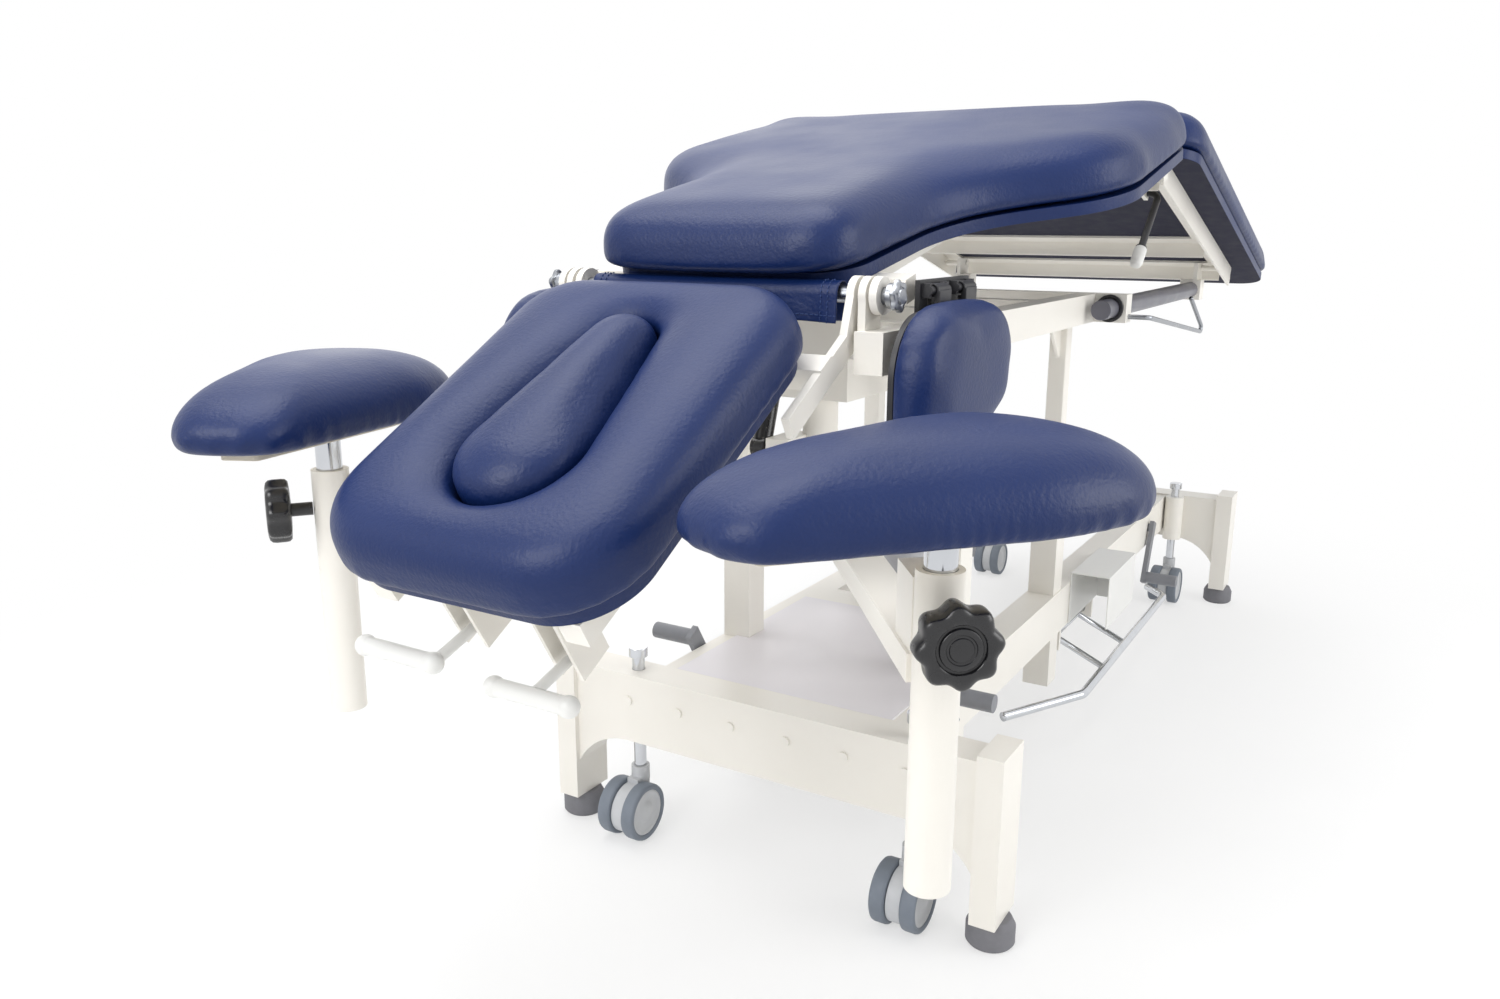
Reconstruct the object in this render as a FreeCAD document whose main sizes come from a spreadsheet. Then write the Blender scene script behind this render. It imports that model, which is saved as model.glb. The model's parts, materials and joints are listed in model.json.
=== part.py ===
import FreeCAD, Part
import math
import os
import re
from types import SimpleNamespace
from FreeCAD import Placement, Rotation, Vector

# Driving dimensions in millimetres and degrees. +X runs from the head end to the foot end, +Z is up,
# and the floor is z = 0. Base places are measured from the middle of the base.
SIZES = {
    # Base frame
    "base_x": 251.4, "foot_span_x": 1400, "foot_span_y": 576, "foot_radius": 27.5, "foot_height": 33,
    "leg_depth": 64, "leg_width": 30, "leg_top": 233, "beam_bottom": 133, "beam_height": 90,
    "beam_depth": 50, "gusset_reach": 80, "gusset_drop": 48, "plug_radius": 6, "plug_height": 3,
    "plug_spacing": 76,
    "rail_y": 150, "rail_width": 44, "rail_height": 70, "panel_thickness": 3, "panel_length": 345,
    "box_length": 120, "box_width": 200, "box_height": 58, "box_x": -410,
    "switch_length": 170, "switch_depth": 62, "switch_height": 86, "switch_x": 50, "switch_wall": 2,
    # Telescopic lift
    "post_front_x": -510, "post_rear_x": -100, "sleeve_size": 40, "sleeve_bottom": 70, "sleeve_top": 430,
    "post_size": 26, "post_bottom": 225, "gusset_size": 55, "slide_gap": 0.5,
    "lift_x": -305, "lift_tube_radius": 30, "lift_rod_radius": 16, "lift_bottom": 60, "lift_top": 420,
    "lift_cross_depth": 80, "motor_radius": 34, "motor_length": 95,
    # Upper frame
    "frame_bottom": 640, "frame_tube_height": 40, "frame_tube_width": 30, "frame_half_width": 185,
    "end_beam_half": 245, "brace_width": 14, "brace_thickness": 5, "stop_gap": 30, "stop_rod_radius": 3.5,
    "pivot_x": -563.6, "pivot_z": 712, "pivot_plate_y": 174, "plate_thickness": 8, "pin_radius": 8,
    "eye_radius": 18, "bolt_head_radius": 12, "bolt_head_height": 8, "pin_gap": 0.4,
    "cover_radius": 13, "cover_half_length": 146, "cover_drop": 26,
    # Armrest carrier
    "column_x": -578, "column_radius": 21.5, "column_bottom": 425, "carrier_box_height": 65,
    "carrier_box_length": 121, "carrier_box_width": 92, "carrier_box_side": -8,
    "arm_post_x": -1030, "arm_post_y": 340, "arm_post_radius": 19, "arm_post_bottom": 261,
    "arm_post_top": 527, "arm_bar_width": 40, "arm_bar_height": 24, "arm_bar_z": 430,
    "arm_rod_radius": 13, "arm_rod_bottom": 330, "arm_rod_top": 560, "knob_radius": 31,
    "knob_thickness": 24, "knob_z": 486, "knob_stem_radius": 7, "knob_stem": 22, "knob_lobes": 8,
    "arm_plate_thickness": 9, "arm_pad_length": 388, "arm_pad_width": 222, "arm_pad_height": 68,
    "arm_pad_angle": 26, "arm_pad_offset": -22, "arm_pad_shrink": 0.66,
    "arm_pad_full": 0.2, "plate_inset": 42, "arm_left_rise": 10,
    "swivel_gap": 0.3,
    # Side wings
    "wing_x": -868, "wing_y": 236, "wing_top": 707, "wing_thickness": 46, "wing_pin_radius": 4,
    "wing_edge": 10,
    # Main and foot sections
    "main_angle": 12.6, "foot_angle": 14.8, "main_length": 726, "foot_length": 835, "carriage_reach": 620,
    "board_thickness": 14, "board_inset": 14, "board_lift": 2, "pad_height": 68, "crown": 7,
    "pad_roll": 1.5, "pad_full": 0.34, "neck_half": 158,
    "main_overhang": 22, "shoulder_half": 334, "ridge_half": 327, "foot_half": 330, "pad_edge": 26,
    "section_gap": 6,
    "rail_tube": 24, "angle_leg": 34, "angle_wall": 4, "foot_rail_y": 258,
    "slide_y": 222, "slide_radius": 14, "slide_z": 660, "slide_length": 620, "bush_radius": 18,
    "bush_flange": 5, "bush_gap": 0.9, "carriage_drop": 14, "ridge_pin_radius": 5, "ridge_eye_y": 272,
    "ridge_eye_radius": 9, "ridge_eye_width": 10, "link_pin_radius": 5,
    "lever_radius": 5, "lever_y": 256, "lever_grip_radius": 8, "lever_grip_length": 30,
    # Gas spring
    "spring_reach": 270, "spring_angle": 47, "spring_y": 52, "spring_radius": 12, "spring_rod_radius": 6,
    "spring_body": 150, "spring_eye": 9, "spring_gap": 1.0,
    # Head section
    "head_angle": 30, "head_length": 402, "head_half": 163, "head_offset": 50, "head_lift": -14,
    "head_pad_height": 66, "hole_length": 258, "hole_wide": 60, "hole_narrow": 34, "hole_inset": 134,
    "plug_gap": 0.6, "head_pin_radius": 4, "grip_length": 80,
    # Running gear
    "caster_front_x": -700, "caster_rear_x": 660, "caster_y": 192, "wheel_radius": 37, "wheel_width": 19,
    "wheel_gap": 18, "axle_radius": 5, "caster_trail": 22, "stem_radius": 8, "caster_floor_gap": 0.6,
    "sleeve_radius": 18, "cap_lift": 17, "cap_height": 12,
    "pedal_front_x": -560, "pedal_rear_x": 520, "pedal_z": 185, "pedal_shaft_radius": 8,
    "pedal_pad_radius": 11, "pedal_pad_length": 62, "bar_radius": 7, "bar_y": 236, "bar_z": 86,
    "bar_shaft_y": 150, "bar_shaft_z": 125,
}

doc = FreeCAD.newDocument("TreatmentCouch")
sheet = doc.addObject("Spreadsheet::Sheet", "Sizes")
for row, (alias, number) in enumerate(SIZES.items(), start=1):
    sheet.set(f"A{row}", alias)
    sheet.set(f"B{row}", str(number))
    sheet.setAlias(f"B{row}", alias)
doc.recompute()
size = SimpleNamespace(**{alias: float(sheet.get(alias)) for alias in SIZES})

nodes = []


def formula(text):
    """An expression in which every sheet alias is read from the sheet."""
    return re.sub(r"[a-z_]+[a-z0-9_]*", lambda word: "Sizes." + word.group() if word.group() in SIZES
                  else word.group(), text)


def bind(thing, **sizes):
    for name, text in sizes.items():
        thing.setExpression(name, formula(text))


def place(thing, x, y, z):
    for axis, text in zip("xyz", (x, y, z)):
        thing.setExpression("Placement.Base." + axis, formula(text))


def box(length, width, height, x, y, z):
    """A block centred on x and y, standing on z."""
    block = doc.addObject("Part::Box", "Block")
    bind(block, Length=length, Width=width, Height=height)
    place(block, f"{x} - ({length}) / 2", f"{y} - ({width}) / 2", z)
    return block


TURN_TO = {"x": Rotation(Vector(0, 1, 0), 90), "y": Rotation(Vector(1, 0, 0), -90), "z": Rotation()}


def rod(radius, height, x, y, z, axis="z"):
    """A round bar that starts at x, y, z and runs along an axis."""
    bar = doc.addObject("Part::Cylinder", "Rod")
    bar.Placement = Placement(Vector(), TURN_TO[axis])
    bind(bar, Radius=radius, Height=height)
    place(bar, x, y, z)
    return bar


def mirrored(thing):
    """The same piece on the other side of the couch."""
    twin = doc.addObject("Part::Mirroring", "Twin")
    twin.Source = thing
    twin.Normal = (0, 1, 0)
    return twin


def pair(thing):
    return [thing, mirrored(thing)]


def fuse(*things):
    joined = doc.addObject("Part::MultiFuse", "Joined")
    joined.Shapes = list(things)
    joined.Refine = True
    return joined


def cut(base, *tools):
    tool = tools[0] if len(tools) == 1 else fuse(*tools)
    trimmed = doc.addObject("Part::Cut", "Trimmed")
    trimmed.Base = base
    trimmed.Tool = tool
    return trimmed


def group(*things):
    bundle = doc.addObject("Part::Compound", "Bundle")
    bundle.Links = list(things)
    return bundle


def solid(shape):
    """A free-form piece worked out from the sheet."""
    piece = doc.addObject("Part::Feature", "Form")
    piece.Shape = shape
    return piece


def node(label, thing):
    """Register a finished piece under the name that its file takes."""
    thing.Label = label
    nodes.append(thing)
    return thing


def tilt(thing, angle, x, z):
    """Stand a piece that was drawn about its own hinge line at that hinge, turned about the Y axis."""
    thing.Placement = Placement(Vector(x, 0, z), Rotation(Vector(0, 1, 0), angle))
    return thing


def rounded(points, radii, z):
    """A closed outline at height z: straight sides joined by tangent arcs at the corners."""
    edges = []
    starts = []
    ends = []
    count = len(points)
    for i in range(count):
        corner = Vector(*points[i], z)
        before = (Vector(*points[i - 1], z) - corner).normalize()
        after = (Vector(*points[(i + 1) % count], z) - corner).normalize()
        half = before.getAngle(after) / 2
        reach = radii[i] / math.tan(half)
        middle = (before + after).normalize() * (radii[i] / math.sin(half) - radii[i])
        starts.append(corner + before * reach)
        ends.append(corner + after * reach)
        edges.append(Part.Arc(starts[i], corner + middle, ends[i]).toShape())
    loop = []
    for i in range(count):
        loop.append(edges[i])
        loop.append(Part.LineSegment(ends[i], starts[(i + 1) % count]).toShape())
    return Part.Wire(loop)


def inset(points, radii, amount):
    """The same outline drawn in by an amount: sides move in parallel and the arcs stay concentric."""
    count = len(points)
    new_points = []
    new_radii = []
    for i in range(count):
        here = Vector(*points[i], 0)
        u = (here - Vector(*points[i - 1], 0)).normalize()
        w = (Vector(*points[(i + 1) % count], 0) - here).normalize()
        turn = u.x * w.y - u.y * w.x
        shift = (w - u) * (amount / turn)
        new_points.append((here.x + shift.x, here.y + shift.y))
        new_radii.append(radii[i] - math.copysign(amount, turn))
    return new_points, new_radii


def cushion(points, radii, base, height, crown, edge, roll, part_full):
    """A stuffed pad on a base level: drawn in at its foot, at its fullest part of the way up, and from there
    rolled over in a quarter of an ellipse to its crowned top."""
    full = part_full * (height - crown / 2)
    levels = [(0, 0.3 * edge), (0.5 * full, 0.06 * edge)]
    for turn in (0, 20, 40, 55, 70, 90):
        angle = math.radians(turn)
        rise = (height - crown / 2 - full) * math.sin(angle)
        levels.append((full + rise, roll * edge * (1 - math.cos(angle))))
    wires = [rounded(*inset(points, radii, draw_in), base + rise) for rise, draw_in in levels]
    return Part.makeLoft(wires, True)


def dome(points, radii, middle, height, shrink, part_full):
    """A pad like an upturned boat: drawn in a little at its foot, at its fullest low down, and from there
    each level is the outline shrunk about its middle, up to the top along a quarter of an ellipse."""
    full = part_full * height
    levels = [(0, 0.955), (0.5 * full, 0.99)]
    for turn in (0, 20, 40, 55, 70, 90):
        angle = math.radians(turn)
        levels.append((full + (height - full) * math.sin(angle), 1 - shrink * (1 - math.cos(angle))))
    wires = []
    for rise, part in levels:
        drawn = [(middle + (x - middle) * part, y * part) for x, y in points]
        wires.append(rounded(drawn, [radius * part for radius in radii], rise))
    return Part.makeLoft(wires, True)


def bent_rod(points, radius, bend):
    """A round bar along straight runs joined by tangent arcs."""
    path = []
    start = Vector(*points[0])
    for before, corner, after in zip(points, points[1:], points[2:]):
        corner = Vector(*corner)
        back = (Vector(*before) - corner).normalize()
        ahead = (Vector(*after) - corner).normalize()
        half = back.getAngle(ahead) / 2
        first = corner + back * (bend / math.tan(half))
        last = corner + ahead * (bend / math.tan(half))
        middle = corner + (back + ahead).normalize() * (bend / math.sin(half) - bend)
        path.append(Part.LineSegment(start, first).toShape())
        path.append(Part.Arc(first, middle, last).toShape())
        start = last
    path.append(Part.LineSegment(start, Vector(*points[-1])).toShape())
    along = Vector(*points[1]) - Vector(*points[0])
    section = Part.Wire(Part.makeCircle(radius, Vector(*points[0]), along))
    return Part.Wire(path).makePipeShell([section], True, False)


def sketch_on(body, role):
    """A new sketch on one of a body's own origin planes."""
    drawing = body.newObject("Sketcher::SketchObject", "Outline")
    plane = next(part for part in body.Origin.OriginFeatures if part.Role == role)
    drawing.AttachmentSupport = [(plane, "")]
    drawing.MapMode = "FlatFace"
    return drawing


def draw_loop(drawing, points):
    """Straight lines round a closed list of points."""
    for here, there in zip(points, points[1:] + points[:1]):
        drawing.addGeometry(Part.LineSegment(Vector(*here, 0), Vector(*there, 0)))


def cross_pin(radius, length, x, y, z):
    """A round bar across the couch, along Y from its start."""
    return Part.makeCylinder(radius, length, Vector(x, y, z), Vector(0, 1, 0))


def turned(points):
    """A body of revolution about its Z axis from an outline of (radius, height) points."""
    body = doc.addObject("PartDesign::Body", "Turned")
    drawing = sketch_on(body, "XZ_Plane")
    draw_loop(drawing, points)
    spin = body.newObject("PartDesign::Revolution", "Spin")
    spin.Profile = drawing
    spin.ReferenceAxis = (drawing, ["V_Axis"])
    return body


# Base: end frames


def end_frame():
    """A cross beam with hollowed corners under it, between two posts."""
    body = doc.addObject("PartDesign::Body", "EndFrame")
    drawing = sketch_on(body, "YZ_Plane")
    inner = (size.foot_span_y - size.leg_width) / 2
    top = size.beam_bottom + size.beam_height
    reach, drop = size.gusset_reach, size.gusset_drop
    arc_radius = (reach ** 2 + drop ** 2) / (2 * drop)
    arc_half = math.atan2(reach, arc_radius - drop) / 2
    corner = size.beam_bottom - drop
    loop = [(-inner, corner), (-inner, top), (inner, top), (inner, corner)]
    for here, there in zip(loop, loop[1:]):
        drawing.addGeometry(Part.LineSegment(Vector(*here, 0), Vector(*there, 0)))
    flat = inner - reach
    under = [Vector(side * flat, size.beam_bottom, 0) for side in (-1, 1)]
    drawing.addGeometry(Part.LineSegment(*under))
    for side in (-1, 1):
        middle = Vector(side * (flat + arc_radius * math.sin(arc_half)),
                        size.beam_bottom - arc_radius * (1 - math.cos(arc_half)), 0)
        drawing.addGeometry(Part.Arc(Vector(side * flat, size.beam_bottom, 0), middle,
                                     Vector(side * inner, corner, 0)))
    web = body.newObject("PartDesign::Pad", "Beam")
    web.Profile = drawing
    web.Midplane = True
    bind(web, Length="beam_depth")
    return body


def leg_posts(end):
    post = box("leg_depth", "leg_width", "leg_top - foot_height", f"base_x + {end} * foot_span_x / 2",
               "foot_span_y / 2", "foot_height")
    return pair(post)


def stem_bores(x):
    bore = rod("stem_radius + slide_gap", "beam_height + 22", x, "caster_y", "beam_bottom - 20")
    return pair(bore)


front_beam = end_frame()
place(front_beam, "base_x - foot_span_x / 2", "0", "0")
BEAM_FACE = "(base_x - foot_span_x / 2 - beam_depth / 2)"
bolt_plugs = []
for step in range(6):
    bolt_plug = rod("plug_radius", "plug_height + 2", BEAM_FACE + " - plug_height",
                    f"{step - 2.5} * plug_spacing", "beam_bottom + beam_height * 0.62", "x")
    bolt_plugs.append(bolt_plug)
node("head_end_frame", cut(fuse(front_beam, *bolt_plugs, *leg_posts(-1)),
                           *stem_bores("base_x + caster_front_x")))
rear_beam = end_frame()
place(rear_beam, "base_x + foot_span_x / 2", "0", "0")
caster_sleeve = rod("sleeve_radius", "beam_height", "base_x + caster_rear_x", "caster_y", "beam_bottom")
node("foot_end_frame", cut(fuse(rear_beam, *leg_posts(1), *pair(caster_sleeve)),
                           *stem_bores("base_x + caster_rear_x")))

foot_points = [(0, 0), (size.foot_radius - 3, 0), (size.foot_radius, 4),
               (size.foot_radius, size.foot_height - 10), (size.foot_radius - 5, size.foot_height),
               (0, size.foot_height)]
feet = []
for end in (-1, 1):
    foot = turned(foot_points)
    place(foot, f"base_x + {end} * foot_span_x / 2", "foot_span_y / 2", "0")
    feet += pair(foot)
node("rubber_feet", group(*feet))

# Base: side rails, guide sleeves, cover panel and electrics

RAIL_BOTTOM = "(beam_bottom + beam_height - panel_thickness - rail_height)"
RAIL_TOP = "(beam_bottom + beam_height - panel_thickness)"


def at_posts(make):
    """The four guide posts: one piece made at each."""
    made = []
    for along in ("post_front_x", "post_rear_x"):
        made += pair(make(f"base_x + {along}"))
    return made


def square_sleeve(x):
    return box("sleeve_size", "sleeve_size", "sleeve_top - sleeve_bottom", x, "rail_y", "sleeve_bottom")


def sleeve_bore(x):
    bore = "post_size + 2 * slide_gap"
    return box(bore, bore, "sleeve_top - sleeve_bottom + 2", x, "rail_y", "sleeve_bottom - 1")


def pedal_bores():
    bores = []
    for along in ("pedal_front_x", "pedal_rear_x"):
        bores.append(rod("pedal_shaft_radius + slide_gap", "foot_span_y", f"base_x + {along}",
                         "-foot_span_y / 2", "pedal_z", "y"))
    return bores


def bar_bracket(x):
    """A small plate under a side rail that carries the foot bar's shaft."""
    plate = box("8", "rail_width - 8", RAIL_BOTTOM + " - bar_shaft_z + 16", x, "bar_shaft_y",
                "bar_shaft_z - 14")
    hole = rod("bar_radius + slide_gap", "20", f"{x} - 10", "bar_shaft_y", "bar_shaft_z", "x")
    return cut(plate, hole)


rail = box("foot_span_x - beam_depth", "rail_width", "rail_height", "base_x", "rail_y", RAIL_BOTTOM)
lift_cross = box("lift_cross_depth", "2 * rail_y", "rail_height", "base_x + lift_x", "0", RAIL_BOTTOM)
brackets = []
for along in (-58, 132):
    brackets += pair(bar_bracket(f"base_x + {along}"))
lift_hole = rod("lift_tube_radius", "rail_height + 2", "base_x + lift_x", "0", RAIL_BOTTOM + " - 1")
rail_frame = fuse(*pair(rail), lift_cross, *brackets, *at_posts(square_sleeve))
node("side_rails", cut(rail_frame, lift_hole, *at_posts(sleeve_bore), *pedal_bores()))

panel = box("panel_length", "2 * rail_y", "panel_thickness",
            "base_x - foot_span_x / 2 + beam_depth / 2 + panel_length / 2", "0", RAIL_TOP)
lift_tube_hole = rod("lift_tube_radius + 1", "20", "base_x + lift_x", "0", RAIL_TOP + " - 5")
node("base_cover_panel", cut(panel, group(*at_posts(square_sleeve)), lift_tube_hole))
case = box("box_length", "box_width", "box_height", "base_x + box_x", "0", RAIL_TOP + " - box_height")
inlet_hole = box("12", "22", "14", "base_x + box_x + box_length / 2", "40",
                 RAIL_TOP + " - box_height / 2 - 7")
node("control_box", cut(case, inlet_hole))

SWITCH_Y = "(rail_y + rail_width / 2 + switch_depth / 2)"
switch_shell = box("switch_length", "switch_depth", "switch_height", "base_x + switch_x", SWITCH_Y,
                   RAIL_BOTTOM)
switch_hollow = box("switch_length", "switch_depth - 2 * switch_wall", "switch_height",
                    "base_x + switch_x - switch_wall", SWITCH_Y, RAIL_BOTTOM + " - switch_wall")
node("switch_covers", group(*pair(cut(switch_shell, switch_hollow))))

# Lift: actuator with its motor, rod and the four guide posts

LIFT_X = "(base_x + lift_x)"
lift_tube = rod("lift_tube_radius", "lift_top - lift_bottom", LIFT_X, "0", "lift_bottom")
lift_bore = rod("lift_rod_radius + slide_gap", "lift_top - lift_bottom", LIFT_X, "0", "lift_bottom + 6")
motor = rod("motor_radius", "motor_length", LIFT_X + " + lift_tube_radius + motor_radius - 6", "0",
            RAIL_TOP + " + 4")
neck = box("lift_tube_radius + motor_radius", "44", "40",
           LIFT_X + " + (lift_tube_radius + motor_radius) / 2", "0", RAIL_TOP + " + 8")
node("lift_actuator", cut(fuse(lift_tube, motor, neck), lift_bore))
node("lift_rod", rod("lift_rod_radius", "frame_bottom - post_bottom", LIFT_X, "0", "post_bottom"))


def plate_xz(points, y_start, thickness):
    """A flat plate drawn in the XZ plane, from y_start to y_start + thickness."""
    corners = [Vector(x, y_start, z) for x, z in points]
    face = Part.Face(Part.makePolygon(corners + corners[:1]))
    return solid(face.extrude(Vector(0, thickness, 0)))


def guide_post(along):
    """A square post with a gusset where it meets the upper frame."""
    x = size.base_x + along
    half = size.post_size / 2
    top = size.frame_bottom
    post = box("post_size", "post_size", "frame_bottom - post_bottom", f"base_x + {along}", "rail_y",
               "post_bottom")
    corner = [(x - half, top), (x - half, top - size.gusset_size), (x - half - size.gusset_size, top)]
    return fuse(post, plate_xz(corner, size.rail_y - 3, 6))


posts = []
for along in (size.post_front_x, size.post_rear_x):
    posts += pair(guide_post(along))
node("guide_posts", group(*posts))

# Upper frame

FRAME_TOP = "(frame_bottom + frame_tube_height)"
FRAME_HEAD = "(pivot_x - 24)"
FRAME_LENGTH = "(base_x + post_rear_x - pivot_x + 24)"


def cross_tube(x, half_length):
    return box("frame_tube_width", f"2 * ({half_length})", "frame_tube_height", x, "0", "frame_bottom")


side_tube = box(FRAME_LENGTH, "frame_tube_width", "frame_tube_height",
                f"{FRAME_HEAD} + {FRAME_LENGTH} / 2", "frame_half_width", "frame_bottom")
cross_tubes = [cross_tube("pivot_x + 100", "frame_half_width"),
               cross_tube("base_x + post_front_x", "frame_half_width"),
               cross_tube("base_x + lift_x", "frame_half_width"),
               cross_tube("base_x + post_rear_x", "end_beam_half")]
slide_bore = rod("bush_radius", "2 * frame_tube_width", "base_x + post_rear_x - frame_tube_width",
                 "slide_y", "slide_z", "x")
brace_start = size.base_x + size.lift_x + size.frame_tube_width / 2
brace_end = size.base_x + size.post_rear_x - size.frame_tube_width / 2
brace_half = size.frame_half_width - size.frame_tube_width / 2
brace_run = Vector(brace_end - brace_start, 2 * brace_half, 0)
brace_angle = math.degrees(math.atan2(brace_run.y, brace_run.x))
brace_bar = Part.makeBox(brace_run.Length, size.brace_width, size.brace_thickness,
                         Vector(-brace_run.Length / 2, -size.brace_width / 2, 0))
brace_bar.Placement = Placement(Vector((brace_start + brace_end) / 2, 0, size.frame_bottom + 14),
                                Rotation(Vector(0, 0, 1), brace_angle))
brace_field = Part.makeBox(brace_end - brace_start, 2 * brace_half, size.frame_tube_height,
                           Vector(brace_start, -brace_half, size.frame_bottom))
cross_brace = solid(brace_bar.common(brace_field))

PIVOT_INNER = "(pivot_plate_y - plate_thickness / 2)"


def eye_plate(y_inner, reach, low):
    """A hinge plate round the pivot line: a round eye on a foot that reaches along the frame."""
    eye = rod("eye_radius", "plate_thickness", "pivot_x", y_inner, "pivot_z", "y")
    foot = box(reach, "plate_thickness", f"pivot_z - {low} + 2", "pivot_x",
               f"{y_inner} + plate_thickness / 2", f"{low} - 2")
    hole = rod("pin_radius + pin_gap", "plate_thickness + 2", "pivot_x", f"{y_inner} - 1", "pivot_z", "y")
    return cut(fuse(eye, foot), hole)


stop_start = size.base_x + size.post_rear_x
stop_y = size.end_beam_half + size.stop_gap
stop_points = [(0, size.end_beam_half, 648), (0, stop_y, 648), (430, stop_y, 594), (290, stop_y, 660)]
stop_route = [(stop_start + x, y, z) for x, y, z in stop_points]
stop_rod = solid(bent_rod(stop_route, size.stop_rod_radius, 6))
pivot_plate = eye_plate(PIVOT_INNER, "34", FRAME_TOP)
upper = fuse(*pair(side_tube), *cross_tubes, *pair(cross_brace), *pair(pivot_plate))
node("upper_frame", cut(upper, *pair(slide_bore)))
node("stop_rods", group(*pair(stop_rod)))
hinge_tube = rod("pin_radius", "2 * pivot_plate_y + 40", "pivot_x", "-pivot_plate_y - 20", "pivot_z", "y")
bolt_head = rod("bolt_head_radius", "bolt_head_height", "pivot_x", "pivot_plate_y + 20", "pivot_z", "y")
node("hinge_bar", fuse(hinge_tube, *pair(bolt_head)))


def cover_form(radius, half_length, drop):
    """A long arch over the hinge tube: a round top and two sides that hang by the drop."""
    arch = rod(radius, f"2 * ({half_length})", "pivot_x", f"-({half_length})", "pivot_z", "y")
    sides = box(f"2 * ({radius})", f"2 * ({half_length})", drop, "pivot_x", "0", f"pivot_z - ({drop})")
    return fuse(arch, sides)


cover_outer = cover_form("cover_radius", "cover_half_length", "cover_drop")
cover_inner = cover_form("pin_radius + pin_gap", "cover_half_length + 1", "cover_drop + 2")
node("hinge_cover", cut(cover_outer, cover_inner))

# Armrest carrier: a column under the frame, two splayed arms and two post tubes

carrier_box = box("carrier_box_length", "carrier_box_width", "carrier_box_height",
                  "base_x + column_x + carrier_box_length / 2 - 38", "carrier_box_side",
                  "frame_bottom - carrier_box_height")
column = rod("column_radius", "frame_bottom - column_bottom - 10", "base_x + column_x", "0",
             "column_bottom")
arm_run = Vector(size.arm_post_x - size.column_x, size.arm_post_y, 0)
arm_turn = Rotation(Vector(1, 0, 0), arm_run)


def arm_part(length, width, height, start, z):
    """A block laid along the left arm, from a distance along it."""
    block = Part.makeBox(length, width, height, Vector(start, -width / 2, 0))
    block.Placement = Placement(Vector(size.base_x + size.column_x, 0, z), arm_turn)
    return solid(block)


arm_bar = arm_part(arm_run.Length - size.arm_post_radius + 4, size.arm_bar_width, size.arm_bar_height, 0,
                   size.arm_bar_z)
arm_block = arm_part(52, 34, 62, arm_run.Length - size.arm_post_radius - 48,
                     size.arm_bar_z + size.arm_bar_height)
spring_turn = math.radians(size.spring_angle)
spring_low = Vector(size.pivot_x + size.spring_reach * math.cos(spring_turn), size.spring_y,
                    size.pivot_z - size.spring_reach * math.sin(spring_turn))
spring_face = size.spring_y - size.spring_radius - 2
spring_bracket = solid(Part.makeBox(size.base_x + size.column_x - spring_low.x + 14, spring_face - 8, 28,
                                    Vector(spring_low.x - 14, 8, spring_low.z - 14)))
spring_pin = solid(cross_pin(size.link_pin_radius, size.spring_radius + size.spring_eye + 4,
                             spring_low.x, spring_face, spring_low.z))
post_tube = rod("arm_post_radius", "arm_post_top - arm_post_bottom", "base_x + arm_post_x", "arm_post_y",
                "arm_post_bottom")
post_bore = rod("arm_rod_radius + slide_gap", "arm_post_top", "base_x + arm_post_x", "arm_post_y",
                "arm_post_bottom + 8")
carrier = fuse(carrier_box, column, spring_bracket, spring_pin, *pair(arm_bar), *pair(arm_block),
               *pair(post_tube))
node("armrest_carrier", cut(carrier, *pair(post_bore)))

# Armrests: a chrome rod in each post, a plate and pad on top, and a star knob that clamps the rod

STAR_STEPS = 96


def star_knob():
    """A lobed knob on a threaded stem, along its own Z axis."""
    corners = []
    for step in range(STAR_STEPS):
        turn = 2 * math.pi * step / STAR_STEPS
        reach = size.knob_radius * (1 + 0.07 * math.cos(size.knob_lobes * turn))
        corners.append(Vector(reach * math.cos(turn), reach * math.sin(turn), 0))
    rim = Part.BSplineCurve()
    rim.interpolate(corners, PeriodicFlag=True)
    disc = Part.Face(Part.Wire(rim.toShape())).extrude(Vector(0, 0, size.knob_thickness))
    stem = Part.makeCylinder(size.knob_stem_radius, size.knob_stem, Vector(0, 0, -size.knob_stem))
    return disc.fuse(stem)


def arm_pad_outline():
    """A long egg: broad at the foot end and narrow at the head end."""
    half_length = size.arm_pad_length / 2
    half_width = size.arm_pad_width / 2
    right = [(-half_length, half_width * 0.45), (half_length * 0.2, half_width), (half_length, half_width)]
    points = [(size.arm_pad_offset + x, -y) for x, y in right]
    points += [(size.arm_pad_offset + x, y) for x, y in reversed(right)]
    radii = [half_width * 0.43, half_length * 0.9, half_width * 0.93, half_width * 0.93, half_length * 0.9,
             half_width * 0.43]
    return points, radii


def on_arm(thing, side, z):
    """Turn a piece drawn about its post to an armrest's own angle and stand it on that post."""
    thing.Placement = Placement(Vector(size.base_x + size.arm_post_x, side * size.arm_post_y, z),
                                Rotation(Vector(0, 0, 1), side * size.arm_pad_angle))
    return thing


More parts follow.
